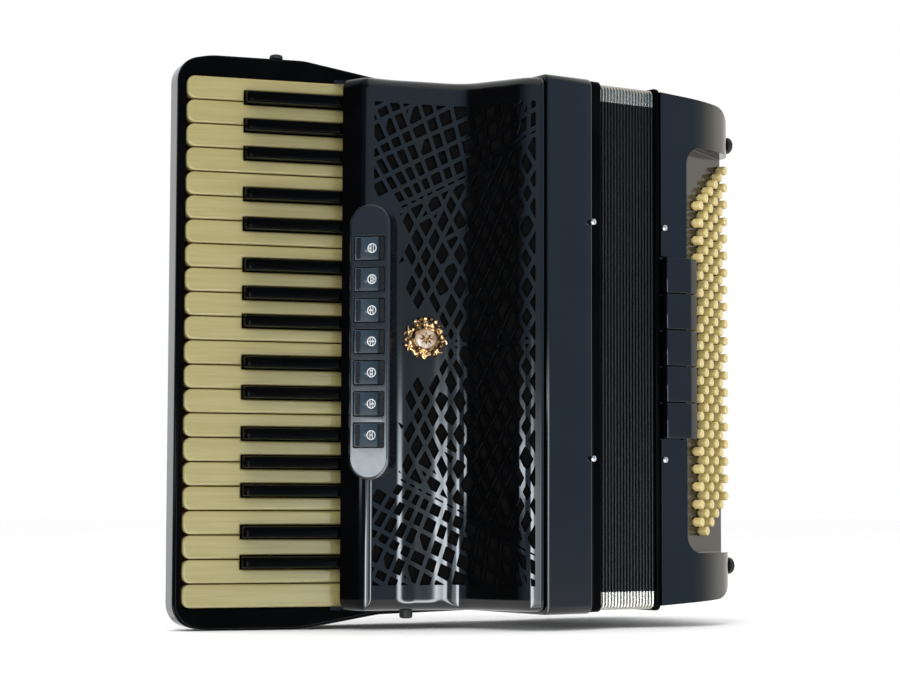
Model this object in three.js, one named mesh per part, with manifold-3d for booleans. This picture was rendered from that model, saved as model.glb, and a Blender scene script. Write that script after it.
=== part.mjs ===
// Piano accordion: 37 treble keys, 119 bass buttons, 12 register switches, closed bellows.
// Millimetres. X runs from the keyboard to the bass side, Y from the front to the player,
// Z along the keyboard with the low notes up. The origin is the bottom centre of the whole box.
import * as THREE from 'three';
import { mergeVertices } from 'three/addons/utils/BufferGeometryUtils.js';
import Module from 'manifold-3d';

const wasm = await Module();
wasm.setup();

// ---- driving dimensions -------------------------------------------------------------------
const GAP = 0.3;                    // clearance left between pieces that touch

const WHITE_COUNT = 22;
const WHITE_PITCH = 19.5;
const KEY_TOP = WHITE_COUNT * WHITE_PITCH / 2;      // upper end of the row of keys
const KEY_CLEAR = 0.4;              // half of the gap between two white keys
const KEY_THICK = 12;
const KEY_TIP_RADIUS = 7;
const BLACK_START = 47.4;           // from the white tips to the black keys
const BLACK_WIDTH = 10.3;
const BLACK_HEIGHT = 10;            // above the white keys
const BLACK_CLEAR = 0.6;
const KEY_VISIBLE = 129;            // white length in front of the grille
const AXLE_ALONG = 225;             // from the white tips to the key axle
const AXLE_DEPTH = 12;              // below the top of the white keys
const AXLE_RADIUS = 1.5;
const KEY_TIP = new THREE.Vector3(-300.3, 148.2, 0);
const KEY_INCLINE = THREE.MathUtils.degToRad(14.7);

const CASE_DEPTH = 190;             // front to back
const TREBLE_HALF = 219.5;          // half of the treble case's height
const TREBLE_WIDTH = 50;            // reed chamber, soundboard to bellows
const WALL = 8;
const GRILLE_HALF = 216.8;
const GRILLE_WALL = 3;
const ACTION_HALF = GRILLE_HALF - GRILLE_WALL - 1;   // levers stay inside the grille's end walls
const GRILLE_LIFT = 1;              // grille's end walls above the tops of the white keys
const FAR_OUT = 400;                // beyond every piece, for cuts that go right through

const BELLOWS_WIDTH = 63.5;         // closed
const BELLOWS_HALF = 215;
const BELLOWS_WALL = 9;

const BASS_START = BELLOWS_WIDTH + GAP;
const BASS_END = 169;
const BASS_HALF = 215.3;
const BASS_CORNER = 48;             // how far back the front turns into the bass end
const BOARD_EDGE = new THREE.Vector2(95, 2);        // front edge of the button board
const BOARD_ANGLE = THREE.MathUtils.degToRad(30);   // board against the front plane
const BUTTON_ROWS = 6;
const BUTTON_COLUMNS = 20;
const BUTTON_ROW_PITCH = 12;
const BUTTON_COLUMN_PITCH = 14.9;
const BUTTON_SLANT = BUTTON_COLUMN_PITCH / 2;        // rise from one row to the next
const BUTTON_RADIUS = 3.9;
const BUTTON_PROUD = 9;
const FIRST_ROW = 17;               // from the board's front edge

const REGISTER_PITCH = 25.2;
const TREBLE_REGISTERS = 7;
const BASS_REGISTERS = 5;
const BASS_REGISTER_LENGTH = 30.4;

// ---- solids -------------------------------------------------------------------------------
function toSolid(geometry) {
  const bare = geometry.clone();
  bare.deleteAttribute('normal');
  bare.deleteAttribute('uv');
  const merged = mergeVertices(bare, 1e-4);
  return new wasm.Manifold(new wasm.Mesh({
    numProp: 3,
    vertProperties: new Float32Array(merged.attributes.position.array),
    triVerts: new Uint32Array(merged.index.array),
  }));
}

function toGeometry(solid) {
  const mesh = solid.getMesh();
  const geometry = new THREE.BufferGeometry();
  geometry.setAttribute('position', new THREE.BufferAttribute(new Float32Array(mesh.vertProperties), 3));
  geometry.setIndex(new THREE.BufferAttribute(new Uint32Array(mesh.triVerts), 1));
  geometry.computeVertexNormals();
  return geometry;
}

const join = (first, ...others) => others.reduce((whole, piece) => whole.add(piece), first);
const cut = (first, ...others) => others.reduce((whole, piece) => whole.subtract(piece), first);

// Corners are [x, y] or [x, y, radius]; a radius rounds that corner with an arc.
function outline(corners, arcSteps = 4) {
  const points = [];
  corners.forEach(([x, y, radius = 0], i) => {
    const corner = new THREE.Vector2(x, y);
    if (!radius) {
      points.push(corner);
      return;
    }
    const before = corners.at(i - 1);
    const after = corners[(i + 1) % corners.length];
    const back = new THREE.Vector2(before[0], before[1]).sub(corner).normalize();
    const ahead = new THREE.Vector2(after[0], after[1]).sub(corner).normalize();
    const half = Math.acos(THREE.MathUtils.clamp(back.dot(ahead), -1, 1)) / 2;
    const middle = back.clone().add(ahead).normalize();
    const centre = corner.clone().addScaledVector(middle, radius / Math.sin(half));
    const start = corner.clone().addScaledVector(back, radius / Math.tan(half)).sub(centre);
    const end = corner.clone().addScaledVector(ahead, radius / Math.tan(half)).sub(centre);
    const sweep = Math.atan2(start.cross(end), start.dot(end));
    for (let step = 0; step <= arcSteps; step += 1) {
      const turned = start.clone().rotateAround(new THREE.Vector2(), sweep * step / arcSteps);
      points.push(turned.add(centre));
    }
  });
  return points;
}

// A prism of an outline drawn on axes u and v from an origin, between two heights along u x v.
function prism(points, low, high, u, v, origin = new THREE.Vector3()) {
  const geometry = new THREE.ExtrudeGeometry(new THREE.Shape(points), {
    depth: high - low, bevelEnabled: false,
  });
  geometry.translate(0, 0, low);
  const across = new THREE.Vector3().crossVectors(u, v);
  geometry.applyMatrix4(new THREE.Matrix4().makeBasis(u, v, across).setPosition(origin));
  return toSolid(geometry);
}

const X = new THREE.Vector3(1, 0, 0);
const Y = new THREE.Vector3(0, 1, 0);
const Z = new THREE.Vector3(0, 0, 1);
const ALONG_KEY = new THREE.Vector3(Math.cos(KEY_INCLINE), -Math.sin(KEY_INCLINE), 0);
const BOARD_ALONG = new THREE.Vector3(Math.cos(BOARD_ANGLE), Math.sin(BOARD_ANGLE), 0);
const BOARD_ORIGIN = new THREE.Vector3(BOARD_EDGE.x, BOARD_EDGE.y, 0);

// plan: outline in X and Y. front: outline in X and Z. side: outline in Y and Z.
const plan = (points, low, high) => prism(points, low, high, X, Y);
const front = (points, nearY, farY) => prism(points, -farY, -nearY, X, Z);
const side = (points, low, high) => prism(points, low, high, Y, Z);
// On the keyboard: outline along the key and in Z, heights above the tops of the white keys.
const onKeys = (points, low, high) => prism(points, low, high, ALONG_KEY, Z, KEY_TIP);
// On the button board: outline along the board and in Z, heights above its face.
const onBoard = (points, low, high) => prism(points, low, high, BOARD_ALONG, Z, BOARD_ORIGIN);
const rectangle = (left, right, low, high, radius = 0) => outline([
  [left, low, radius], [right, low, radius], [right, high, radius], [left, high, radius],
]);

// A point at a distance along a key and a height above it, as [x, y] in plan.
function keyPoint(along, height) {
  const up = new THREE.Vector3().crossVectors(ALONG_KEY, Z);
  const point = KEY_TIP.clone().addScaledVector(ALONG_KEY, along).addScaledVector(up, height);
  return [point.x, point.y];
}

// ---- materials ----------------------------------------------------------------------------
const finish = (color, roughness, metalness = 0) => new THREE.MeshStandardMaterial({
  color, roughness, metalness,
});
const MATERIALS = {
  blackLacquer: finish(0x14171b, 0.12),
  ivory: finish(0xd8cf9c, 0.3),
  ebony: finish(0x0d0e10, 0.25),
  steel: finish(0xb9bcc0, 0.3, 1),
  spruce: finish(0xc9a873, 0.6),
  cloth: finish(0x121315, 0.8),
  taupe: finish(0x7a6f67, 0.5),
  switchBlue: finish(0x33414e, 0.2),
  smoke: finish(0x2a2e33, 0.15, 0.4),
  leather: finish(0x17130f, 0.6),
};

const model = new THREE.Group();
function add(name, solid, material) {
  const mesh = new THREE.Mesh(toGeometry(solid), material);
  mesh.name = name;
  model.add(mesh);
}

// ---- keyboard layout ----------------------------------------------------------------------
// From the top: F, G, A, B in a group of four whites and three blacks, then C, D, E.
const GROUPS = [
  { whites: 4, blackShift: [3.3, 0, -3.3] },
  { whites: 3, blackShift: [2.4, -2.4] },
];

function keyLayout() {
  const whites = [];
  const blacks = [];
  while (whites.length < WHITE_COUNT) {
    const group = GROUPS[whites.length % 7 < 4 ? 0 : 1];
    for (let i = 0; i < group.whites && whites.length < WHITE_COUNT; i += 1) {
      const top = KEY_TOP - whites.length * WHITE_PITCH;
      whites.push({ top, bottom: top - WHITE_PITCH, tailTop: null, tailBottom: null });
      if (i < group.whites - 1 && whites.length < WHITE_COUNT) {
        blacks.push({ centre: top - WHITE_PITCH + group.blackShift[i], above: whites.length - 1 });
      }
    }
  }
  const reach = BLACK_WIDTH / 2 + BLACK_CLEAR;
  whites.forEach((key) => {
    key.tailTop = key.top - KEY_CLEAR;
    key.tailBottom = key.bottom + KEY_CLEAR;
  });
  blacks.forEach(({ centre, above }) => {
    whites[above].tailBottom = centre + reach;
    whites[above + 1].tailTop = centre - reach;
  });
  return { whites, blacks };
}

const HEEL_BEFORE = 12;             // the heel, before and after the axle
const HEEL_AFTER = 8;
const HEEL_DEPTH = 18;
const AXLE_CLEAR = 0.35;
const KEY_END = AXLE_ALONG - 10;    // where a key's stick runs into its heel
const PAD_FACE = -TREBLE_WIDTH - 6 - GAP;
const PAD_THICK = 9;
const PAD_START = 34;               // from the front
const PAD_LENGTH = 50;
const LEVER_THICK = 4;
const LEVER_END = 96;               // behind the pad, where the lever meets the heel

// The hidden end of every key: a heel with a slot that sits over the axle, and the lever whose
// pad covers the air holes of one note in the soundboard.
function keyAction(keyLow, keyHigh) {
  const low = Math.max(keyLow, -ACTION_HALF);
  const high = Math.min(keyHigh, ACTION_HALF);
  const onKey = ([before, top, after, bottom]) => plan(outline([
    keyPoint(AXLE_ALONG - before, top), keyPoint(AXLE_ALONG - before, bottom),
    keyPoint(AXLE_ALONG + after, bottom), keyPoint(AXLE_ALONG + after, top),
  ]), low, high);
  const heel = onKey([HEEL_BEFORE, 0, HEEL_AFTER, -HEEL_DEPTH]);
  const slotHalf = AXLE_RADIUS + AXLE_CLEAR;
  const slot = onKey([slotHalf, slotHalf - AXLE_DEPTH, slotHalf, -2 * HEEL_DEPTH]);
  const padBack = PAD_FACE - PAD_THICK;
  const leverFront = padBack - LEVER_THICK;
  const lever = plan(outline([
    [leverFront, PAD_START - 3], [padBack, PAD_START - 3], [padBack, PAD_START],
    [PAD_FACE, PAD_START], [PAD_FACE, PAD_START + PAD_LENGTH], [padBack, PAD_START + PAD_LENGTH],
    [padBack, LEVER_END], [leverFront - 10, LEVER_END + 4], [leverFront - 10, LEVER_END - 2],
    [leverFront, LEVER_END - 6],
  ]), low, high);
  return cut(join(heel, lever), slot);
}

function whiteKey(key) {
  const headTop = key.top - KEY_CLEAR;
  const headBottom = key.bottom + KEY_CLEAR;
  const shoulder = BLACK_START - BLACK_CLEAR;
  const corners = [[0, headBottom, KEY_TIP_RADIUS]];
  if (key.tailBottom > headBottom) corners.push([shoulder, headBottom], [shoulder, key.tailBottom]);
  corners.push([KEY_END, key.tailBottom], [KEY_END, key.tailTop]);
  if (key.tailTop < headTop) corners.push([shoulder, key.tailTop], [shoulder, headTop]);
  corners.push([0, headTop, KEY_TIP_RADIUS]);
  const plate = onKeys(outline(corners, 3), -KEY_THICK, 0);
  return join(plate, keyAction(key.tailBottom, key.tailTop));
}

function blackKey({ centre }) {
  const low = centre - BLACK_WIDTH / 2;
  const high = centre + BLACK_WIDTH / 2;
  const hidden = KEY_VISIBLE + 12;
  const [slope, nose] = [4, 3];
  const stick = plan(outline([
    keyPoint(BLACK_START, -KEY_THICK), keyPoint(KEY_END, -KEY_THICK),
    keyPoint(KEY_END, 0), keyPoint(hidden, 0), keyPoint(hidden, BLACK_HEIGHT),
    keyPoint(BLACK_START + slope, BLACK_HEIGHT), keyPoint(BLACK_START, nose),
  ]), low, high);
  return join(stick, keyAction(low, high));
}

function keyAxle() {
  const [x, y] = keyPoint(AXLE_ALONG, -AXLE_DEPTH);
  const length = 2 * KEY_TOP - KEY_CLEAR;
  const rod = new THREE.CylinderGeometry(AXLE_RADIUS, AXLE_RADIUS, length, 12);
  rod.rotateX(Math.PI / 2);
  rod.translate(x, y, 0);
  return toSolid(rod);
}

// ---- treble side --------------------------------------------------------------------------
const RIM_WIDTH = 7.5;              // keyboard frame outside the key tips
const RIM_DROP = 3;                 // frame below the tops of the white keys
const FRAME_HALF = 232.5;
const BED_DEPTH = 23;
const BED_THICK = 8;
const FRAME_RIGHT = -TREBLE_WIDTH - 6.5;
const FRAME_BACK = CASE_DEPTH - 1;
const FRAME_WALL = 23;              // ends of the hollow behind the bed
const WELL_CLEAR = 0.6;             // between the end keys and the frame
// One end of its outline, [along the keys, half height, corner radius], and how far back it goes.
const FRAME_END = [
  [-RIM_WIDTH, 227, 20], [20, FRAME_HALF, 60], [98, FRAME_HALF, 60], [165, 221, 60], [265, 217.5],
];
const FRAME_BACK_LEFT = [[-307, 178], [-340, 174]];

function keyboardFrame() {
  const lower = FRAME_END.map(([along, half, radius]) => [along, -half, radius]);
  const shape = outline([...lower, ...FRAME_END.toReversed()], 5);
  const bodyLimit = plan(outline([
    [-FAR_OUT, -FAR_OUT], [FRAME_RIGHT, -FAR_OUT], [FRAME_RIGHT, FRAME_BACK], ...FRAME_BACK_LEFT,
    [-FAR_OUT, FRAME_BACK_LEFT[1][1]],
  ]), -FAR_OUT, FAR_OUT);
  const well = onKeys(
    rectangle(-2 * KEY_CLEAR, FAR_OUT, -KEY_TOP - WELL_CLEAR, KEY_TOP + WELL_CLEAR), -BED_DEPTH, FAR_OUT,
  );
  const bedBack = -BED_DEPTH - BED_THICK;
  const [bedLeft, bedRight] = [keyPoint(38, bedBack), keyPoint(262, bedBack)];
  const hollow = plan(outline([
    bedLeft, bedRight, [bedRight[0], FRAME_BACK - WALL], [bedLeft[0], FRAME_BACK_LEFT[0][1] - 6],
  ]), -FRAME_HALF + FRAME_WALL, FRAME_HALF - FRAME_WALL);
  return cut(onKeys(shape, -90, -RIM_DROP).intersect(bodyLimit), well, hollow);
}

// Front of the grille in plan, from over the keys to the groove beside the treble case.
const GRILLE_PROFILE = [
  [-181.5, 103.4], [-178, 94], [-174.5, 86.5], [-170, 82], [-163, 80.2], [-145, 78.5],
  [-128, 74], [-112, 69.6], [-97.5, 65.8], [-90.5, 61.5], [-86.5, 55.5], [-82.5, 46],
  [-76.5, 32], [-71.5, 19.5], [-68, 12.5], [-62.5, 6.2], [-52.8, 1],
];

function grilleFront(inset) {
  return GRILLE_PROFILE.map(([x, y], i) => {
    const before = GRILLE_PROFILE[Math.max(i - 1, 0)];
    const after = GRILLE_PROFILE[Math.min(i + 1, GRILLE_PROFILE.length - 1)];
    const along = new THREE.Vector2(after[0] - before[0], after[1] - before[1]).normalize();
    return [x - along.y * inset, y + along.x * inset];
  });
}

function grille() {
  const [grooveX] = GRILLE_PROFILE.at(-1);
  const foot = keyPoint(KEY_VISIBLE - 7, GRILLE_LIFT);
  const heel = keyPoint(AXLE_ALONG + 27, GRILLE_LIFT);
  const whole = plan(outline([...GRILLE_PROFILE, [grooveX, heel[1]], foot]), -GRILLE_HALF, GRILLE_HALF);
  const inner = grilleFront(GRILLE_WALL);
  const last = inner.pop();
  const lipX = last[0] - GRILLE_WALL;
  const lipEnd = 8.5;               // the wall beside the groove ends here
  const hollow = plan(outline([
    ...inner, [lipX, last[1] + 0.6], [lipX, lipEnd], [FAR_OUT, lipEnd], [FAR_OUT, FAR_OUT],
    [-FAR_OUT, FAR_OUT], [-FAR_OUT, inner[0][1]],
  ]), -GRILLE_HALF + GRILLE_WALL, GRILLE_HALF - GRILLE_WALL);
  return cut(whole, hollow, switchSlot());
}

// The register pod straddles the ridge of the grille and faces the player's fingers.
const POD_CENTRE = new THREE.Vector3(-170, 79.5, 0);
const POD_TURN = THREE.MathUtils.degToRad(50);      // its face, turned from the front to the left
const POD_WIDTH = 35;
const POD_LENGTH = 224;
const POD_DEPTH = 24;
const POD_ACROSS = new THREE.Vector3(Math.cos(POD_TURN), -Math.sin(POD_TURN), 0);
const onPod = (points, low, high) => prism(points, low, high, POD_ACROSS, Z, POD_CENTRE);
const SWITCH = { across: 25, long: 19, low: -2.3, high: 0.7, clear: 0.6, deep: 4.4 };
const registerZ = (i) => (i - (TREBLE_REGISTERS - 1) / 2) * REGISTER_PITCH;

// The opening in the grille behind the switches, where they tip inwards.
function switchSlot() {
  const half = SWITCH.across / 2 + SWITCH.clear;
  const end = registerZ(TREBLE_REGISTERS - 1) + SWITCH.long / 2 + SWITCH.clear;
  return onPod(rectangle(-half, half, -end, end), -SWITCH.deep, POD_DEPTH);
}

function registerPlate() {
  const [side1, side2, top] = [-POD_WIDTH / 2, POD_WIDTH / 2, POD_LENGTH / 2];
  const end = POD_WIDTH / 2 - 0.1;
  const body = onPod(outline([
    [side1, -top, end], [side2, -top, end], [side2, top, end], [side1, top, end],
  ], 5), -POD_DEPTH, 0);
  const clearOfGrille = grilleFront(-GAP);
  const behind = plan(outline([
    ...clearOfGrille, [clearOfGrille.at(-1)[0], CASE_DEPTH], [-FAR_OUT, CASE_DEPTH],
    [-FAR_OUT, clearOfGrille[0][1]],
  ]), -POD_LENGTH, POD_LENGTH);
  const pockets = Array.from({ length: TREBLE_REGISTERS }, (_, i) => onPod(rectangle(
    -SWITCH.across / 2 - SWITCH.clear, SWITCH.across / 2 + SWITCH.clear,
    registerZ(i) - SWITCH.long / 2 - SWITCH.clear, registerZ(i) + SWITCH.long / 2 + SWITCH.clear,
  ), -SWITCH.deep, 1));
  return cut(body, behind, ...pockets);
}

function trebleRegister(i) {
  const z = registerZ(i);
  const half = SWITCH.long / 2;
  const across = SWITCH.across / 2;
  return onPod(rectangle(-across, across, z - half, z + half), SWITCH.low, SWITCH.high);
}

// A staple for the shoulder strap, on the player's side.
const STAPLE_HALF = 4;
const STAPLE_REACH = 10;
const STAPLE_BAR = 3.5;
const STAPLE_LEFT = -41;
const STAPLE_RIGHT = -9;
const STAPLE_Z = 180;

function strapStaple(z) {
  const bracket = (nearY, x1, x2) => side(
    rectangle(nearY, CASE_DEPTH + STAPLE_REACH, z - STAPLE_HALF, z + STAPLE_HALF), x1, x2,
  );
  const bar = bracket(CASE_DEPTH + STAPLE_REACH - STAPLE_BAR, STAPLE_LEFT, STAPLE_RIGHT);
  const posts = [STAPLE_LEFT, STAPLE_RIGHT - STAPLE_HALF].map((x) => (
    bracket(CASE_DEPTH - 1, x, x + STAPLE_HALF)
  ));
  return join(bar, ...posts);
}

function trebleCase() {
  const ring = cut(
    side(outline([
      [0, -TREBLE_HALF, 4], [CASE_DEPTH, -TREBLE_HALF, 14],
      [CASE_DEPTH, TREBLE_HALF, 14], [0, TREBLE_HALF, 4],
    ]), -TREBLE_WIDTH, 0),
    side(rectangle(WALL, CASE_DEPTH - WALL, -TREBLE_HALF + WALL, TREBLE_HALF - WALL), -FAR_OUT, FAR_OUT),
  );
  return join(ring, strapStaple(-STAPLE_Z), strapStaple(STAPLE_Z));
}

function trebleSoundboard() {
  const back = -TREBLE_WIDTH - GAP;
  const [thick, half] = [5.7, GRILLE_HALF - GRILLE_WALL - 1];
  const plate = side(rectangle(10, CASE_DEPTH - 6, -half, half), back - thick, back);
  const [blockHalf, blockEnd, blockBack] = [8, 198, -10];
  const blocks = [38, 72, 106, 140].map((y) => (
    side(rectangle(y - blockHalf, y + blockHalf, -blockEnd, blockEnd), back - 1, blockBack)
  ));
  return join(plate, ...blocks);
}

// ---- bellows ------------------------------------------------------------------------------
const BELLOWS_INSET = 4;            // from the fronts and backs of the cases
const BELLOWS_CORNER = 6;

function bellows() {
  const inner = BELLOWS_WALL + BELLOWS_INSET;
  const top = BELLOWS_HALF - BELLOWS_WALL;
  return cut(
    side(
      rectangle(BELLOWS_INSET, CASE_DEPTH - BELLOWS_INSET, -BELLOWS_HALF, BELLOWS_HALF, BELLOWS_CORNER),
      GAP, BELLOWS_WIDTH,
    ),
    side(rectangle(inner, CASE_DEPTH - inner, -top, top), -FAR_OUT, FAR_OUT),
  );
}

// ---- bass side ----------------------------------------------------------------------------
const BOARD_LENGTH = 84;
const BOARD_HALF = 166;
const BOARD_START = 4;              // the board's near edge, from the case's edge
const BOARD_THICK = 3;
const NOTCH_HALF = 171;
const NOTCH_CORNER = 15;
const FOOT_RADIUS = 7.2;
const FOOT_PROUD = 4;
const FOOT_Y = [38, 162];
const FOOT_Z = [-183, 183];
const STRAP_HALF = 178;             // half of the hand strap's height
const STRAP_BOW = 120;              // half of its stretch that stands off the case
const STRAP_NEAR = 82;              // its two edges, from the front
const STRAP_FAR = 146;
const REED_WALL = [84, 90];         // between the bellows and the button machine
const REED_BLOCK_Y = [60, 120];

// The outside of the bass case: round at the front, and a little lower towards its end.
function bassBody() {
  const corner = Array.from({ length: 10 }, (_, i) => {
    const turn = Math.PI / 2 * i / 9;
    return [
      BOARD_EDGE.x + (BASS_END - BOARD_EDGE.x) * Math.sin(turn), BASS_CORNER * (1 - Math.cos(turn)),
    ];
  });
  const planShape = outline([
    [BASS_START, 0], ...corner, [BASS_END, CASE_DEPTH, 14], [BASS_START, CASE_DEPTH],
  ], 7);
  const [drop, shoulder] = [7, 38];
  const frontShape = outline([
    [BASS_START, -BASS_HALF + 1], [BASS_END, drop - BASS_HALF, shoulder],
    [BASS_END, BASS_HALF - drop, shoulder], [BASS_START, BASS_HALF],
  ], 6);
  return plan(planShape, -FAR_OUT, FAR_OUT).intersect(front(frontShape, -FAR_OUT, FAR_OUT));
}

// What is cut out of it: the corner where the buttons stand, the seats of the board and of the
// registers, and the two chambers inside.
function bassCuts() {
  const notch = front(outline([
    [BOARD_EDGE.x, -NOTCH_HALF, NOTCH_CORNER], [FAR_OUT, -NOTCH_HALF],
    [FAR_OUT, NOTCH_HALF], [BOARD_EDGE.x, NOTCH_HALF, NOTCH_CORNER],
  ]), -FAR_OUT, FAR_OUT).intersect(onBoard(rectangle(-60, 2 * BOARD_LENGTH, -200, 200), 0, 120));
  const boardSeat = onBoard(
    rectangle(BOARD_START - GAP, BOARD_LENGTH + GAP, -BOARD_HALF - GAP, BOARD_HALF + GAP), -16, 1,
  );
  const registerHalf = BASS_REGISTERS * BASS_REGISTER_LENGTH / 2 + 2 * GAP;
  const registerSeat = front(rectangle(66, 98.5, -registerHalf, registerHalf), -FAR_OUT, 6.5);
  const inFront = WALL + 2;
  const chamber = plan(outline([
    [BASS_START - 5, inFront], [REED_WALL[1] - 2, inFront], [BASS_END - WALL, 62],
    [BASS_END - WALL, CASE_DEPTH - WALL], [BASS_START - 5, CASE_DEPTH - WALL],
  ]), -BASS_HALF + 18, BASS_HALF - 18);
  const rim = plan(
    rectangle(BASS_START - 5, REED_WALL[0], inFront, CASE_DEPTH - WALL), -BASS_HALF + 10, BASS_HALF - 10,
  );
  return [notch, rim, chamber, boardSeat, registerSeat];
}

function bassFoot(y, z) {
  const sunk = 2;
  const foot = new THREE.CylinderGeometry(FOOT_RADIUS, FOOT_RADIUS, FOOT_PROUD + sunk, 16);
  foot.rotateZ(Math.PI / 2);
  foot.translate(BASS_END + (FOOT_PROUD - sunk) / 2, y, z);
  return toSolid(foot);
}

function bassCase() {
  const wall = cut(
    side(rectangle(WALL - 1, CASE_DEPTH - WALL + 1, -BASS_HALF + 12, BASS_HALF - 12), ...REED_WALL),
    side(rectangle(6, 26, -NOTCH_HALF + 1, NOTCH_HALF - 1), -FAR_OUT, FAR_OUT),
  );
  const [blockHalf, blockEnd] = [12, 150];
  const blocks = REED_BLOCK_Y.map((y) => (
    side(rectangle(y - blockHalf, y + blockHalf, -blockEnd, blockEnd), 66, REED_WALL[0] + 1)
  ));
  const feet = FOOT_Z.flatMap((z) => FOOT_Y.map((y) => bassFoot(y, z)));
  return join(cut(bassBody(), ...bassCuts()), wall, ...blocks, ...feet);
}

function buttonPositions() {
  const places = [];
  for (let row = 0; row < BUTTON_ROWS; row += 1) {
    // The first row has no button at its lower end.
    for (let column = row === 0 ? 1 : 0; column < BUTTON_COLUMNS; column += 1) {
      const middle = (column - (BUTTON_COLUMNS - 1) / 2) * BUTTON_COLUMN_PITCH;
      places.push({
        along: FIRST_ROW + row * BUTTON_ROW_PITCH,
        z: middle + (row - (BUTTON_ROWS - 1) / 2) * BUTTON_SLANT,
      });
    }
  }
  return places;
}

function bassButtons() {
  const carrierTop = -BOARD_THICK - 1;
  const carrierThick = 2;
  const carrier = onBoard(
    rectangle(BOARD_START + 1.5, BOARD_LENGTH - 4, 1 - BOARD_HALF, BOARD_HALF - 1),
    carrierTop - carrierThick, carrierTop,
  );
  const sides = 6;
  const round = Array.from({ length: sides }, (_, i) => (
    new THREE.Vector2(BUTTON_RADIUS, 0).rotateAround(new THREE.Vector2(), 2 * Math.PI * i / sides)
  ));
  const buttons = buttonPositions().map(({ along, z }) => {
    const middle = new THREE.Vector2(along, z);
    return onBoard(round.map((point) => point.clone().add(middle)), carrierTop - 1, BUTTON_PROUD);
  });
  return wasm.Manifold.union([carrier, ...buttons]);
}

function bassButtonBoard() {
  const half = BUTTON_RADIUS + 0.5;
  const reach = (BUTTON_COLUMNS - 1) / 2 * BUTTON_COLUMN_PITCH + half;
  const slots = Array.from({ length: BUTTON_ROWS }, (_, row) => {
    const along = FIRST_ROW + row * BUTTON_ROW_PITCH;
    const middle = (row - (BUTTON_ROWS - 1) / 2) * BUTTON_SLANT;
    const slot = rectangle(along - half, along + half, middle - reach, middle + reach);
    return onBoard(slot, -BOARD_THICK - 1, 1);
  });
  const plate = onBoard(rectangle(BOARD_START, BOARD_LENGTH, -BOARD_HALF, BOARD_HALF), -BOARD_THICK, 0);
  return cut(plate, ...slots);
}

// A tab lies on the front, and its slanted side drops towards the buttons.
function bassRegister(i) {
  const middle = (i - (BASS_REGISTERS - 1) / 2) * BASS_REGISTER_LENGTH;
  const half = BASS_REGISTER_LENGTH / 2 - 0.4;
  return plan(outline([
    [66.5, 0.8], [66.5, -6, 1], [94.5, -6, 1], [104.5, -1.9], [103, 0.8],
  ], 2), middle - half, middle + half);
}

// The hand strap bows out from the end of the case, fixed near both of its ends.
function bassStrap() {
  const [face, bow, thick, bend] = [BASS_END + GAP, 26, 4, 60];
  const inside = STRAP_HALF - 8;    // where the strap leaves the case
  const upper = [
    [face + bow, STRAP_BOW, bend], [face + thick, STRAP_HALF], [face, STRAP_HALF], [face, inside],
    [face + thick / 2, inside], [face + bow - thick, STRAP_BOW - thick / 2, bend - thick],
  ];
  const lower = upper.toReversed().map(([x, z, radius]) => [x, -z, radius]);
  return front(outline([...upper, ...lower], 4), STRAP_NEAR, STRAP_FAR);
}

// ---- assembly -----------------------------------------------------------------------------
const numbered = (name, i) => `${name}_${String(i + 1).padStart(2, '0')}`;
const { whites, blacks } = keyLayout();

add('keyboard_frame', keyboardFrame(), MATERIALS.blackLacquer);
add('key_axle', keyAxle(), MATERIALS.steel);
whites.forEach((key, i) => add(numbered('white_key', i), whiteKey(key), MATERIALS.ivory));
blacks.forEach((key, i) => add(numbered('black_key', i), blackKey(key), MATERIALS.ebony));
add('grille', grille(), MATERIALS.blackLacquer);
add('register_plate', registerPlate(), MATERIALS.smoke);
for (let i = 0; i < TREBLE_REGISTERS; i += 1) {
  add(numbered('treble_register', i), trebleRegister(i), MATERIALS.switchBlue);
}
add('treble_case', trebleCase(), MATERIALS.blackLacquer);
add('treble_soundboard', trebleSoundboard(), MATERIALS.spruce);
add('bellows', bellows(), MATERIALS.cloth);
add('bass_case', bassCase(), MATERIALS.blackLacquer);
add('bass_button_board', bassButtonBoard(), MATERIALS.taupe);
add('bass_buttons', bassButtons(), MATERIALS.ivory);
for (let i = 0; i < BASS_REGISTERS; i += 1) {
  add(numbered('bass_register', i), bassRegister(i), MATERIALS.blackLacquer);
}
add('bass_strap', bassStrap(), MATERIALS.leather);

// Put the origin at the bottom centre of the box.
const box = new THREE.Box3().setFromObject(model);
const centre = box.getCenter(new THREE.Vector3());
model.position.set(-centre.x, -centre.y, -box.min.z);

const accordion = new THREE.Group();
accordion.add(model);
export default accordion;
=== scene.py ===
"""A piano accordion standing on the end of its keyboard, low notes up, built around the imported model.

Everything is drawn in millimetres in the instrument's own axes: X from the keyboard to the bass
side, Y from the front to the player, Z up along the keyboard, zero at the front edge of the treble
case beside the bellows, at mid height. ORIGIN is that point in the frame, in metres.
"""
import math
import random

import bmesh
import bpy
from mathutils import Matrix, Vector, geometry


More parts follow.
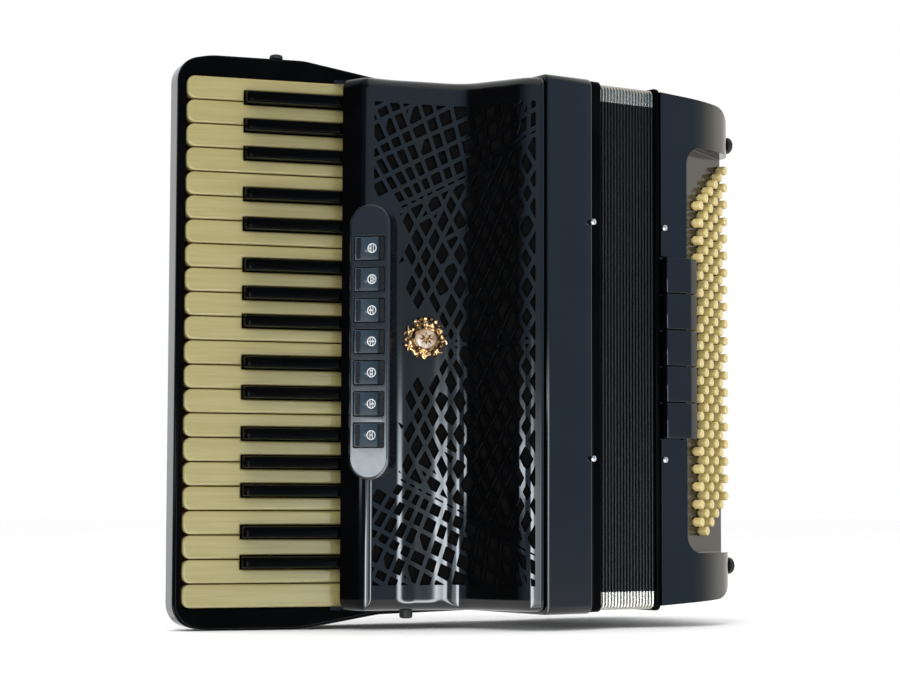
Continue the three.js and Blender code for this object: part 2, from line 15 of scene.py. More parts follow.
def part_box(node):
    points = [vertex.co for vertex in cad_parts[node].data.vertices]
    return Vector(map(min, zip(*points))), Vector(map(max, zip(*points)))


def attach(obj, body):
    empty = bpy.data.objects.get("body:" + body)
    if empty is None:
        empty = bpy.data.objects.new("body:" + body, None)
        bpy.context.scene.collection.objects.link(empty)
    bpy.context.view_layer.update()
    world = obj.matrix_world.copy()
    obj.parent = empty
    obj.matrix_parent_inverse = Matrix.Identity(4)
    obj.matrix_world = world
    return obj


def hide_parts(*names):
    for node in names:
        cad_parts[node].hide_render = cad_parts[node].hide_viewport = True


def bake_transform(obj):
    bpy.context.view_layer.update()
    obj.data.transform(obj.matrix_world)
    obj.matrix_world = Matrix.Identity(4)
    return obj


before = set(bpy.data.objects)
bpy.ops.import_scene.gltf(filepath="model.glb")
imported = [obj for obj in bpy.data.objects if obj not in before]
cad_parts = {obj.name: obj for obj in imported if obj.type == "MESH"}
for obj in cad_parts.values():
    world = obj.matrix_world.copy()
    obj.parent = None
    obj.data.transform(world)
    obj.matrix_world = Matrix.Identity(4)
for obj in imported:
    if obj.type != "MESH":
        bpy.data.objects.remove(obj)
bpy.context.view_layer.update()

MM = 0.001
TREBLE_WIDTH = 50.0
TREBLE_HALF = 219.5
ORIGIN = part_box("treble_case")[0] + Vector((TREBLE_WIDTH, 0, TREBLE_HALF)) * MM


# ---- camera -------------------------------------------------------------------------------
CAMERA_PLACE = ORIGIN + Vector((-1186.6, -1563.9, -130.7)) * MM     # in front of the keys, low
CAMERA_YAW, CAMERA_PITCH, CAMERA_ROLL = (math.radians(a) for a in (33.68, 3.97, 0.19))
CAMERA_LENS = 96.0
SENSOR_WIDTH = 36.0


def make_camera():
    ahead = Vector((
        math.sin(CAMERA_YAW) * math.cos(CAMERA_PITCH),
        math.cos(CAMERA_YAW) * math.cos(CAMERA_PITCH),
        math.sin(CAMERA_PITCH),
    ))
    level = Vector((math.cos(CAMERA_YAW), -math.sin(CAMERA_YAW), 0))
    upright = level.cross(ahead)
    right = level * math.cos(CAMERA_ROLL) + upright * math.sin(CAMERA_ROLL)
    up = right.cross(ahead)
    data = bpy.data.cameras.new("camera")
    data.lens = CAMERA_LENS
    data.sensor_width = SENSOR_WIDTH
    camera = bpy.data.objects.new("camera", data)
    turn = Matrix((right, up, -ahead)).transposed().to_4x4()
    camera.matrix_world = Matrix.Translation(CAMERA_PLACE) @ turn
    bpy.context.scene.collection.objects.link(camera)
    bpy.context.scene.camera = camera


make_camera()


# ---- frames to draw in --------------------------------------------------------------------
class Frame:
    """Maps (a, b, height) to a point in millimetres; height goes along the cross product."""

    def __init__(self, origin, along, up):
        self.origin = Vector(origin)
        self.along = Vector(along)
        self.up = Vector(up)
        self.out = self.along.cross(self.up)

    def __call__(self, a, b, height=0.0):
        return self.origin + self.along * a + self.up * b + self.out * height


X, Y, Z = Vector((1, 0, 0)), Vector((0, 1, 0)), Vector((0, 0, 1))
KEY_INCLINE = math.radians(14.7)
KEY_TIP = Vector((-300.3, 148.2, 0))
BOARD_ANGLE = math.radians(30)
POD_TURN = math.radians(50)
PLAN = Frame((0, 0, 0), X, Y)                   # height up
FRONT = Frame((0, 0, 0), X, Z)                  # height towards the front
SIDE = Frame((0, 0, 0), Y, Z)                   # height towards the bass side
KEYS = Frame(KEY_TIP, (math.cos(KEY_INCLINE), -math.sin(KEY_INCLINE), 0), Z)
BOARD = Frame((95, 2, 0), (math.cos(BOARD_ANGLE), math.sin(BOARD_ANGLE), 0), Z)
POD = Frame((-170, 79.5, 0), (math.cos(POD_TURN), -math.sin(POD_TURN), 0), Z)


# ---- outlines -----------------------------------------------------------------------------
def outline(corners, steps=8):
    """Points round a polygon of (a, b) or (a, b, radius) corners, anticlockwise."""
    points = []
    for i, corner in enumerate(corners):
        here = Vector(corner[:2])
        radius = corner[2] if len(corner) > 2 else 0
        if radius <= 0:
            points.append(here)
            continue
        back = (Vector(corners[i - 1][:2]) - here).normalized()
        ahead = (Vector(corners[(i + 1) % len(corners)][:2]) - here).normalized()
        half = math.acos(max(-1, min(1, back.dot(ahead)))) / 2
        centre = here + (back + ahead).normalized() * (radius / math.sin(half))
        start = here + back * (radius / math.tan(half)) - centre
        end = here + ahead * (radius / math.tan(half)) - centre
        sweep = math.atan2(start.x * end.y - start.y * end.x, start.dot(end))
        for step in range(steps + 1):
            turned = start.copy()
            turned.rotate(Matrix.Rotation(sweep * step / steps, 2))
            points.append(centre + turned)
    return points


def rectangle(left, right, low, high, radius=0, steps=8):
    return outline(
        [(left, low, radius), (right, low, radius), (right, high, radius), (left, high, radius)], steps
    )


def circle(a, b, radius, sides=24):
    return [
        Vector((a + radius * math.cos(turn), b + radius * math.sin(turn)))
        for turn in (math.tau * i / sides for i in range(sides))
    ]


def inset(points, distance):
    """The same outline moved inwards; each corner keeps its one point."""
    moved = []
    for i, here in enumerate(points):
        before = (here - points[i - 1]).normalized()
        after = (points[(i + 1) % len(points)] - here).normalized()
        normal = Vector((-before.y - after.y, before.x + after.x))
        share = max(normal.length_squared / 2, 0.3)
        moved.append(here + normal * (distance / share))
    return moved


# ---- shapes -------------------------------------------------------------------------------
HOLD = 0.06         # a thin border that keeps flat faces flat in smooth shading


class Shape:
    """Points in millimetres and faces, gathered before they become one piece."""

    def __init__(self):
        self.points = []
        self.faces = []
        self.marks = []         # which of the piece's materials each face takes

    def add(self, points, faces, mark=0):
        start = len(self.points)
        self.points.extend(points)
        self.faces.extend([start + i for i in face] for face in faces)
        self.marks.extend([mark] * len(faces))
        return self

    def rings(self, rings, mark=0, loop=False, caps=True):
        """A skin over rings of as many points each, capped at both ends or joined in a loop."""
        count = len(rings[0])
        faces = []
        for i in range(len(rings) if loop else len(rings) - 1):
            low, high = i * count, (i + 1) % len(rings) * count
            for j in range(count):
                k = (j + 1) % count
                faces.append([low + j, low + k, high + k, high + j])
        if caps and not loop:
            faces.append(list(range(count))[::-1])
            faces.append([(len(rings) - 1) * count + j for j in range(count)])
        return self.add([p for ring in rings for p in ring], faces, mark)

    def prism(self, place, points, low, high, top=0.0, bottom=0.0, mark=0, steps=4):
        """An outline drawn on a frame, between two heights, with rounded edges."""
        levels = [(bottom + HOLD, low)] if bottom else []
        levels += round_edge(bottom, low, 1, steps)
        levels += round_edge(top, high, -1, steps)[::-1]
        levels += [(top + HOLD, high)] if top else []
        shaped = [(inset(points, distance), height) for distance, height in levels]
        return self.rings([[place(a, b, height) for a, b in ring] for ring, height in shaped], mark)

    def lathe(self, place, a, b, profile, sides=24, mark=0):
        """(radius, height) pairs turned about the axis that leaves the frame at (a, b)."""
        rings = [[place(*p, height) for p in circle(a, b, radius, sides)] for radius, height in profile]
        return self.rings(rings, mark)

    def tube(self, path, radius, sides=8, mark=0, loop=False):
        """A round bar along points in millimetres."""
        rings = []
        count = len(path)
        for i, here in enumerate(path):
            before = path[i - 1] if loop or i else here
            after = path[(i + 1) % count] if loop or i < count - 1 else here
            ahead = (after - before).normalized()
            across = ahead.cross(X if abs(ahead.x) < 0.8 else Y).normalized()
            over = ahead.cross(across)
            rings.append([
                here + (across * math.cos(t) + over * math.sin(t)) * radius
                for t in (math.tau * j / sides for j in range(sides))
            ])
        return self.rings(rings, mark, loop=loop)


def round_edge(radius, height, way, steps):
    """(inset, height) pairs round an edge, from the flat face to the wall."""
    if not radius:
        return [(0, height)]
    pairs = []
    for i in range(steps + 1):
        turn = math.pi / 2 * i / steps
        pairs.append((radius * (1 - math.sin(turn)), height + way * radius * (1 - math.cos(turn))))
    return pairs


def soft_rod(radius, low, high, edge, steps=3):
    """Lathe profile of a rod with rounded ends."""
    ends = [(distance, height) for distance, height in round_edge(edge, low, 1, steps)]
    ends += round_edge(edge, high, -1, steps)[::-1]
    return [(radius - distance, height) for distance, height in ends]


# ---- pieces -------------------------------------------------------------------------------
SMOOTH_ANGLE = math.radians(32)


def raw_object(name, shape):
    mesh = bpy.data.meshes.new(name)
    mesh.from_pydata([ORIGIN + p * MM for p in shape.points], [], shape.faces)
    mesh.polygons.foreach_set("material_index", shape.marks)
    turned = bmesh.new()
    turned.from_mesh(mesh)
    bmesh.ops.recalc_face_normals(turned, faces=turned.faces)
    turned.to_mesh(mesh)
    turned.free()
    obj = bpy.data.objects.new(name, mesh)
    bpy.context.scene.collection.objects.link(obj)
    return obj


def apply_modifiers(obj):
    graph = bpy.context.evaluated_depsgraph_get()
    mesh = bpy.data.meshes.new_from_object(obj.evaluated_get(graph))
    old = obj.data
    obj.modifiers.clear()
    obj.data = mesh
    bpy.data.meshes.remove(old)


def carve(obj, shapes, operation="DIFFERENCE"):
    """Cuts shapes out of an object, or keeps only what they share."""
    for shape in shapes:
        tool = raw_object("tool", shape)
        modifier = obj.modifiers.new("carve", "BOOLEAN")
        modifier.operation = operation
        modifier.solver = "EXACT"
        modifier.object = tool
        apply_modifiers(obj)
        bpy.data.objects.remove(tool)


def soften(obj, width, segments=2):
    """Rounds every sharp edge by a width in millimetres."""
    cleaned = bmesh.new()
    cleaned.from_mesh(obj.data)
    bmesh.ops.remove_doubles(cleaned, verts=cleaned.verts, dist=0.02 * MM)
    bmesh.ops.dissolve_limit(
        cleaned, angle_limit=math.radians(0.4), verts=cleaned.verts, edges=cleaned.edges,
    )
    cleaned.to_mesh(obj.data)
    cleaned.free()
    modifier = obj.modifiers.new("soften", "BEVEL")
    modifier.width = width * MM
    modifier.segments = segments
    modifier.limit_method = "ANGLE"
    modifier.angle_limit = math.radians(35)
    modifier.harden_normals = False
    apply_modifiers(obj)
    weighted = obj.modifiers.new("weighted", "WEIGHTED_NORMAL")
    weighted.keep_sharp = True


def finish_piece(obj, looks, body, replaces=(), smooth=True):
    """Gives a piece its looks, shading and body, and hides the parts it replaces."""
    for look in looks if isinstance(looks, (list, tuple)) else [looks]:
        obj.data.materials.append(look)
    if smooth:
        obj.data.shade_smooth()
        obj.data.set_sharp_from_angle(angle=SMOOTH_ANGLE)
    if body:
        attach(obj, body)
    if replaces:
        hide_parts(*replaces)
    return obj


def piece(name, shape, looks, body, replaces=(), smooth=True):
    return finish_piece(raw_object(name, shape), looks, body, replaces, smooth)


# ---- materials ----------------------------------------------------------------------------
class Look:
    """A Principled material whose colour, roughness and bump come from textures in the mesh's space."""

    def __init__(self, name, **settings):
        self.material = bpy.data.materials.new(name)
        self.material.use_nodes = True
        self.tree = self.material.node_tree
        self.shader = self.tree.nodes["Principled BSDF"]
        for socket, value in settings.items():
            self.shader.inputs[socket.replace("_", " ")].default_value = value
        self.coordinates = self.tree.nodes.new("ShaderNodeTexCoord").outputs["Object"]

    def stretched(self, scale):
        mapping = self.tree.nodes.new("ShaderNodeMapping")
        mapping.inputs["Scale"].default_value = scale
        self.tree.links.new(self.coordinates, mapping.inputs["Vector"])
        return mapping.outputs["Vector"]

    def noise(self, scale, detail=3.0, stretch=None, distortion=0.0):
        texture = self.tree.nodes.new("ShaderNodeTexNoise")
        texture.inputs["Scale"].default_value = scale
        texture.inputs["Detail"].default_value = detail
        texture.inputs["Distortion"].default_value = distortion
        vector = self.stretched(stretch) if stretch else self.coordinates
        self.tree.links.new(vector, texture.inputs["Vector"])
        return texture.outputs["Fac"]

    def wave(self, scale, direction, distortion=0.0):
        texture = self.tree.nodes.new("ShaderNodeTexWave")
        texture.bands_direction = direction
        texture.inputs["Scale"].default_value = scale
        texture.inputs["Distortion"].default_value = distortion
        texture.inputs["Detail"].default_value = 1.0
        self.tree.links.new(self.coordinates, texture.inputs["Vector"])
        return texture.outputs["Fac"]

    def cells(self, scale, stretch=None):
        texture = self.tree.nodes.new("ShaderNodeTexVoronoi")
        texture.inputs["Scale"].default_value = scale
        vector = self.stretched(stretch) if stretch else self.coordinates
        self.tree.links.new(vector, texture.inputs["Vector"])
        return texture.outputs["Distance"]

    def combine(self, first, second, operation="MULTIPLY"):
        node = self.tree.nodes.new("ShaderNodeMath")
        node.operation = operation
        self.tree.links.new(first, node.inputs[0])
        self.tree.links.new(second, node.inputs[1])
        return node.outputs[0]

    def tint(self, factor, dark, light, low=0.35, high=0.65):
        ramp = self.tree.nodes.new("ShaderNodeValToRGB")
        ramp.color_ramp.elements[0].position = low
        ramp.color_ramp.elements[0].color = (*dark, 1)
        ramp.color_ramp.elements[1].position = high
        ramp.color_ramp.elements[1].color = (*light, 1)
        self.tree.links.new(factor, ramp.inputs["Fac"])
        self.tree.links.new(ramp.outputs["Color"], self.shader.inputs["Base Color"])
        return self

    def rough(self, factor, low, high):
        node = self.tree.nodes.new("ShaderNodeMapRange")
        node.inputs["To Min"].default_value = low
        node.inputs["To Max"].default_value = high
        self.tree.links.new(factor, node.inputs["Value"])
        self.tree.links.new(node.outputs["Result"], self.shader.inputs["Roughness"])
        return self

    def bump(self, height, depth, strength=1.0):
        """Relief of a depth in millimetres."""
        node = self.tree.nodes.new("ShaderNodeBump")
        node.inputs["Strength"].default_value = strength
        node.inputs["Distance"].default_value = depth * MM
        self.tree.links.new(height, node.inputs["Height"])
        self.tree.links.new(node.outputs["Normal"], self.shader.inputs["Normal"])
        return self


def lacquer(name, specular, coat):
    look = Look(name, Specular_IOR_Level=specular, Coat_Weight=coat, Coat_Roughness=0.03)
    look.tint(look.noise(26), (0.0009, 0.0010, 0.0012), (0.0017, 0.0019, 0.0023))
    look.rough(look.noise(90, 4), 0.045, 0.085)
    look.bump(look.noise(420, 2), 0.004, 0.5)
    return look.material


def ivory():
    look = Look("ivory", Specular_IOR_Level=0.5, Coat_Weight=0.25, Coat_Roughness=0.12)
    grain = look.noise(60, 5, (0.25, 0.25, 6.0), 0.4)
    look.tint(grain, (0.292, 0.250, 0.096), (0.336, 0.292, 0.126))
    look.rough(look.noise(300, 3), 0.20, 0.30)
    look.bump(look.noise(700, 3, (0.3, 0.3, 3.0)), 0.006, 0.4)
    return look.material


def ebony():
    look = Look("ebony", Specular_IOR_Level=0.035)
    grain = look.noise(140, 4, (0.15, 0.15, 4.0))
    look.tint(grain, (0.0004, 0.0004, 0.0005), (0.0011, 0.0011, 0.0013))
    look.rough(look.noise(220, 3), 0.11, 0.19)
    look.bump(grain, 0.006, 0.4)
    return look.material


def button_cream():
    look = Look("button_cream", Specular_IOR_Level=0.5, Coat_Weight=0.4, Coat_Roughness=0.08)
    look.tint(look.noise(240, 4, None, 0.6), (0.560, 0.420, 0.130), (0.760, 0.640, 0.300))
    look.rough(look.noise(500, 2), 0.16, 0.26)
    return look.material


def chrome(name="chrome", tone=0.72, rough=(0.06, 0.14)):
    look = Look(name, Metallic=1.0)
    streak = look.noise(260, 3, (1.0, 1.0, 0.2))
    look.tint(streak, (tone * 0.90,) * 3, (tone, tone, tone * 1.02))
    look.rough(streak, *rough)
    return look.material


def corner_nickel():
    look = Look("corner_nickel", Metallic=1.0)
    streak = look.noise(500, 3, (1.0, 3.0, 3.0))
    look.tint(streak, (0.40, 0.38, 0.34), (0.66, 0.63, 0.57))
    look.rough(streak, 0.16, 0.30)
    look.bump(look.noise(900, 2), 0.01, 0.5)
    return look.material


def gold():
    look = Look("old_gold", Metallic=1.0)
    patches = look.noise(230, 5, None, 0.8)
    look.tint(patches, (0.050, 0.022, 0.008), (0.80, 0.50, 0.24), 0.44, 0.62)
    look.rough(patches, 0.34, 0.16)
    look.bump(look.noise(900, 3), 0.05, 0.6)
    return look.material


def enamel():
    look = Look("medallion_enamel", Coat_Weight=0.6, Coat_Roughness=0.04)
    look.tint(look.noise(160, 3), (0.30, 0.20, 0.13), (0.62, 0.50, 0.38))
    look.rough(look.noise(300, 2), 0.10, 0.20)
    return look.material


def spruce():
    look = Look("spruce")
    grain = look.wave(120, "X", 3.0)
    look.tint(grain, (0.46, 0.29, 0.135), (0.62, 0.43, 0.225), 0.2, 0.8)
    look.rough(look.noise(90, 4), 0.5, 0.65)
    look.bump(grain, 0.03, 0.4)
    return look.material


def bellows_cloth(name="bellows_cloth", dark=(0.0008, 0.0009, 0.0012), light=(0.0030, 0.0034, 0.0041)):
    look = Look(name, Specular_IOR_Level=0.30, Sheen_Weight=0.02)
    weave = look.combine(look.wave(700, "Z"), look.wave(700, "Y"))
    look.tint(look.combine(weave, look.noise(180, 4), "ADD"), dark, light, 0.4, 1.1)
    look.rough(look.noise(120, 4), 0.34, 0.50)
    look.bump(weave, 0.05, 0.5)
    return look.material


def grille_cloth():
    look = Look("grille_cloth", Specular_IOR_Level=0.08)
    weave = look.combine(look.wave(560, "Z", 0.6), look.wave(560, "X", 0.6))
    threads = look.combine(weave, look.noise(90, 5), "ADD")
    look.tint(threads, (0.0012, 0.0011, 0.0011), (0.0046, 0.0040, 0.0038), 0.4, 1.2)
    look.rough(look.noise(200, 4), 0.80, 0.95)
    look.bump(weave, 0.15, 0.8)
    return look.material


def board_taupe():
    look = Look("board_taupe", Specular_IOR_Level=0.22)
    look.tint(look.noise(34, 3), (0.020, 0.0165, 0.0138), (0.026, 0.0215, 0.0180))
    look.rough(look.noise(150, 3), 0.08, 0.14)
    look.bump(look.noise(500, 2), 0.003, 0.4)
    return look.material


# Painted shade: a darker, duller plastic for faces that stand in shade, on the pod's side, the switch steps
# and grips, and the bass tabs' slanted sides.
def painted_shade_plastic():
    look = Look("painted_shade_plastic", Specular_IOR_Level=0.3)
    look.tint(look.noise(80, 3), (0.0030, 0.0036, 0.0046), (0.0060, 0.0070, 0.0088))
    look.rough(look.noise(260, 3), 0.20, 0.32)
    return look.material


def switch_slate():
    look = Look("switch_slate", Specular_IOR_Level=0.5, Coat_Weight=0.5, Coat_Roughness=0.06)
    look.tint(look.noise(80, 3), (0.020, 0.034, 0.048), (0.028, 0.046, 0.064))
    look.rough(look.noise(260, 3), 0.14, 0.22)
    look.bump(look.noise(800, 2), 0.004, 0.4)
    return look.material


def smoke():
    look = Look("smoke", Specular_IOR_Level=0.5, Coat_Weight=0.5, Coat_Roughness=0.04)
    look.tint(look.noise(40, 3), (0.0080, 0.0105, 0.0140), (0.0110, 0.0140, 0.0190))
    look.rough(look.noise(160, 3), 0.07, 0.13)
    return look.material


def leather(name="leather", dark=(0.0060, 0.0052, 0.0046), light=(0.016, 0.0135, 0.0118)):
    look = Look(name, Specular_IOR_Level=0.4)
    pores = look.cells(620)
    creases = look.noise(140, 5, None, 0.5)
    look.tint(creases, dark, light)
    look.rough(creases, 0.42, 0.62)
    look.bump(look.combine(pores, creases, "ADD"), 0.12, 0.6)
    return look.material


def thread():
    look = Look("thread", Specular_IOR_Level=0.3)
    look.tint(look.noise(900, 3), (0.10, 0.092, 0.082), (0.20, 0.185, 0.165))
    look.rough(look.noise(600, 2), 0.6, 0.8)
    return look.material


def rubber():
    look = Look("rubber", Specular_IOR_Level=0.35)
    look.tint(look.noise(200, 4), (0.008, 0.008, 0.008), (0.018, 0.018, 0.018))
    look.rough(look.noise(300, 4), 0.55, 0.75)
    look.bump(look.noise(800, 3), 0.03, 0.5)
    return look.material


def felt(name, dark, light):
    look = Look(name, Specular_IOR_Level=0.15, Sheen_Weight=0.3)
    fibres = look.noise(900, 6, None, 1.2)
    look.tint(fibres, dark, light)
    look.rough(fibres, 0.85, 1.0)
    look.bump(fibres, 0.25, 0.8)
    return look.material


def icon_white():
    look = Look("icon_white", Specular_IOR_Level=0.5)
    look.tint(look.noise(400, 2), (0.62, 0.64, 0.66), (0.78, 0.80, 0.82))
    look.rough(look.noise(400, 2), 0.25, 0.4)
    return look.material


LACQUER = lacquer("black_lacquer", 0.5, 0.3)
FRAME_LACQUER = lacquer("frame_lacquer", 0.03, 0.0)
EDGE_LACQUER = lacquer("edge_lacquer", 0.12, 0.0)
RIM_LACQUER = lacquer("rim_lacquer", 0.30, 0.0)
IVORY = ivory()
EBONY = ebony()
BUTTON_CREAM = button_cream()
CHROME = chrome()
CORNER_NICKEL = corner_nickel()
GOLD = gold()
ENAMEL = enamel()
SPRUCE = spruce()
BELLOWS_CLOTH = bellows_cloth()
GRILLE_CLOTH = grille_cloth()
BOARD_TAUPE = board_taupe()
SWITCH_SLATE = switch_slate()
PAINTED_SHADE_PLASTIC = painted_shade_plastic()
SMOKE = smoke()
LEATHER = leather()
THREAD = thread()
RUBBER = rubber()
RED_FELT = felt("red_felt", (0.14, 0.012, 0.012), (0.26, 0.03, 0.025))
ICON_WHITE = icon_white()


# ---- keys ---------------------------------------------------------------------------------
WHITE_COUNT = 22
BLACK_COUNT = 15
KEY_THICK = 12.0
KEY_TIP_RADIUS = 6.2
KEY_EDGE = 1.7
CAP_LENGTH = 152.0          # ends out of sight under the grille
BLACK_START = 47.4
BLACK_CLEAR = 0.6
BLACK_HEIGHT = 10.0
AXLE_ALONG = 225.0
AXLE_DEPTH = 12.0
AXLE_RADIUS = 1.5
ACTION_HALF = 211.3
PAD_FACE = -56.3


def row(position):
    """A point of the frame, in metres, in the instrument's millimetres."""
    return (Vector(position) - ORIGIN) / MM


def span(node):
    """The lowest and highest Z of a CAD node."""
    low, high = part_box(node)
    return row(low).z, row(high).z


WHITES = [span(f"white_key_{i + 1:02d}") for i in range(WHITE_COUNT)]
BLACKS = [span(f"black_key_{i + 1:02d}") for i in range(BLACK_COUNT)]


def tail_span(low, high):
    """Where a white key runs between the black keys beside it."""
    tail_low, tail_high = low, high
    for black_low, black_high in BLACKS:
        if black_low < high < black_high:
            tail_high = black_low - BLACK_CLEAR
        if black_low < low < black_high:
            tail_low = black_high + BLACK_CLEAR
    return tail_low, tail_high


def key_action(low, high):
    """The hidden end of a key: heel with its slot over the axle, lever and pad."""
    low, high = max(low, -ACTION_HALF), min(high, ACTION_HALF)
    middle, half = (low + high) / 2, (high - low) / 2
    shape = Shape()
    stick_end = AXLE_ALONG - AXLE_RADIUS - 1
    shape.prism(KEYS, rectangle(CAP_LENGTH, stick_end, low, high), -KEY_THICK, 0, 0.4, 0.4)
    shape.prism(KEYS, rectangle(AXLE_ALONG - 12, stick_end, low, high), -18, -KEY_THICK)
    shape.prism(KEYS, rectangle(stick_end, AXLE_ALONG + 8, low, high), -AXLE_DEPTH + 3, 0)
    shape.prism(KEYS, rectangle(AXLE_ALONG + 3, AXLE_ALONG + 8, low, high), -18, -AXLE_DEPTH + 3)
    lever_back, lever_front = PAD_FACE - 9.5, PAD_FACE - 13
    lever = outline([
        (lever_front, 31), (lever_back, 31), (lever_back, 94), (PAD_FACE - 23, 100),
        (PAD_FACE - 23, 95), (lever_front, 90),
    ])
    shape.prism(PLAN, lever, middle - min(3, half), middle + min(3, half), 0.4, 0.4, mark=1)
    wood = rectangle(PAD_FACE - 9, PAD_FACE - 3, 34, 84)
    shape.prism(PLAN, wood, low + 0.4, high - 0.4, 0.4, 0.4)
    shape.prism(PLAN, rectangle(PAD_FACE - 3, PAD_FACE, 34, 84), low + 0.2, high - 0.2, mark=2)
    return shape


def white_key(i):
    """A cap with room beside it for the black keys, and its action."""
    low, high = WHITES[i]
    tail_low, tail_high = tail_span(low, high)
    shoulder = BLACK_START - BLACK_CLEAR
    corners = [(0, low, KEY_TIP_RADIUS)]
    if tail_low > low:
        corners += [(shoulder, low), (shoulder, tail_low)]
    corners += [(CAP_LENGTH, tail_low), (CAP_LENGTH, tail_high)]
    if tail_high < high:
        corners += [(shoulder, tail_high), (shoulder, high)]
    corners.append((0, high, KEY_TIP_RADIUS))
    cap = Shape().prism(KEYS, outline(corners, 7), -KEY_THICK, 0, KEY_EDGE, 0.5, steps=5)
    name = f"white_key_{i + 1:02d}"
    piece(f"white_key_cap_{i + 1:02d}", cap, IVORY, name, [name])
    action = key_action(tail_low, tail_high)
    piece(f"white_key_lever_{i + 1:02d}", action, [SPRUCE, CHROME, RED_FELT], name)


def black_key_section(low, high, top, squeeze):
    """Across a black key: wider at the foot, round at its upper edges."""
    middle, half = (low + high) / 2, (high - low) / 2 - squeeze
    top_half, edge = half - 0.9, 1.5
    points = [(middle - half, -KEY_THICK), (middle + half, -KEY_THICK), (middle + half, 0)]
    for step in range(5):
        turn = math.pi / 2 * step / 4
        points.append((middle + top_half - edge * (1 - math.cos(turn)), top - edge * (1 - math.sin(turn))))
    for step in range(5):
        turn = math.pi / 2 * step / 4
        points.append((middle - top_half + edge * (1 - math.sin(turn)), top - edge * (1 - math.cos(turn))))
    points.append((middle - half, 0))
    return points


def black_key(i):
    """A key whose nose rises in a quarter circle, and its action."""
    low, high = BLACKS[i]
    nose = 5.0
    stations = []
    for step in range(7):
        t = step / 6
        rise = math.sqrt(1 - (1 - t) ** 2)
        stations.append((BLACK_START + nose * t * t, 3 + (BLACK_HEIGHT - 3) * rise, 0.9 * (1 - rise)))
    stations.append((CAP_LENGTH, BLACK_HEIGHT, 0))
    rings = []
    for along, top, squeeze in stations:
        rings.append([KEYS(along, z, height) for z, height in black_key_section(low, high, top, squeeze)])
    body = Shape().rings(rings)
    name = f"black_key_{i + 1:02d}"
    piece(f"black_key_top_{i + 1:02d}", body, EBONY, name, [name])
    action = key_action(low, high)
    piece(f"black_key_lever_{i + 1:02d}", action, [SPRUCE, CHROME, RED_FELT], name)


# ---- keyboard frame -----------------------------------------------------------------------
FRAME_HALF = 232.5
FRAME_END = [(-7.5, 227, 20), (20, FRAME_HALF, 60), (98, FRAME_HALF, 60), (165, 221, 60), (265, 217.5, 0)]
RIM_DROP = 3.0
WELL_HALF = 215.1
BED_DEPTH = 23.0
FELT_STRIPS = ((3, 17), (60, 70))       # under the tips and the middles of the keys
FRAME_RIGHT = -56.5
FRAME_BACK = 189.0
FAR = 400.0


def keyboard_shell():
    """The frame round the keys: a shaped slab with a well for the keys and a hollow behind it."""
    lower = [(along, -half, radius) for along, half, radius in FRAME_END]
    shape = outline(lower + FRAME_END[::-1], 12)
    shell = raw_object("keyboard_shell", Shape().prism(KEYS, shape, -90, -RIM_DROP, 3.2, steps=5))
    limit = outline([
        (-FAR, -FAR), (FRAME_RIGHT, -FAR), (FRAME_RIGHT, FRAME_BACK), (-307, 178, 12), (-340, 174),
        (-FAR, 174),
    ])
    carve(shell, [Shape().prism(PLAN, limit, -FAR, FAR)], "INTERSECT")
    well = rectangle(-0.8, FAR, -WELL_HALF, WELL_HALF, 3)
    bed_left, bed_right = KEYS(38, 0, -BED_DEPTH - 8), KEYS(262, 0, -BED_DEPTH - 8)
    hollow = outline([bed_left[:2], bed_right[:2], (bed_right.x, FRAME_BACK - 8), (bed_left.x, 172)])
    carve(shell, [
        Shape().prism(KEYS, well, -BED_DEPTH, FAR),
        Shape().prism(PLAN, hollow, -FRAME_HALF + 23, FRAME_HALF - 23),
    ])
    soften(shell, 0.9)
    mark_faces(shell, -X, 0.80, 1)
    finish_piece(shell, [FRAME_LACQUER, RIM_LACQUER], "treble", ["keyboard_frame"])
    strip = Shape()
    for near, far in FELT_STRIPS:
        felt_outline = rectangle(near, far, -WELL_HALF + 1, WELL_HALF - 1, 2)
        strip.prism(KEYS, felt_outline, -BED_DEPTH, -BED_DEPTH + 4, 1.2)
    piece("key_bed_felt", strip, RED_FELT, "treble")


def frame_knobs():
    """A small stop on the upper end of the frame and one under the treble side."""
    top = Shape()
    knob = Frame(KEYS(76, FRAME_HALF - 1, -11), X, Y)
    top.lathe(knob, 0, 0, [(3.4, -3), (3.4, 1.4), (5.3, 1.9), (5.6, 3.1), (5.0, 4.7), (3.2, 5.4), (0.4, 5.6)])
    piece("frame_top_stop", top, RUBBER, "treble")
    low = Shape()
    foot = Frame((-128, 88, -TREBLE_HALF + 3), X, -Y)
    low.lathe(foot, 0, 0, [(5.4, -2), (5.4, 5.0), (4.9, 6.4), (3.2, 7.0), (0.4, 7.1)])
    piece("treble_lower_foot", low, RUBBER, "treble")


# ---- grille -------------------------------------------------------------------------------
GRILLE_PROFILE = [
    (-181.5, 103.4), (-178, 94), (-174.5, 86.5), (-170, 82), (-163, 80.2), (-145, 78.5),
    (-128, 74), (-112, 69.6), (-97.5, 65.8), (-90.5, 61.5), (-86.5, 55.5), (-82.5, 46),
    (-76.5, 32), (-71.5, 19.5), (-68, 12.5), (-62.5, 6.2), (-52.8, 1),
]
GRILLE_HALF = 216.8
GRILLE_ROUND = 10.0             # rounding of the two ends
GRILLE_THICK = 3.0
GRILLE_FLAT = GRILLE_HALF - GRILLE_ROUND
GRILLE_WRAP = GRILLE_FLAT + GRILLE_ROUND * math.pi / 2
GRILLE_LIP = 8.5                # how deep the wall beside the groove goes
GROOVE_FLOOR = (-56.4, -50.3, 8.0, 9.8)
GRILLE_FOOT = KEYS(122, 0, 1)
GRILLE_HEEL = KEYS(252, 0, 1)


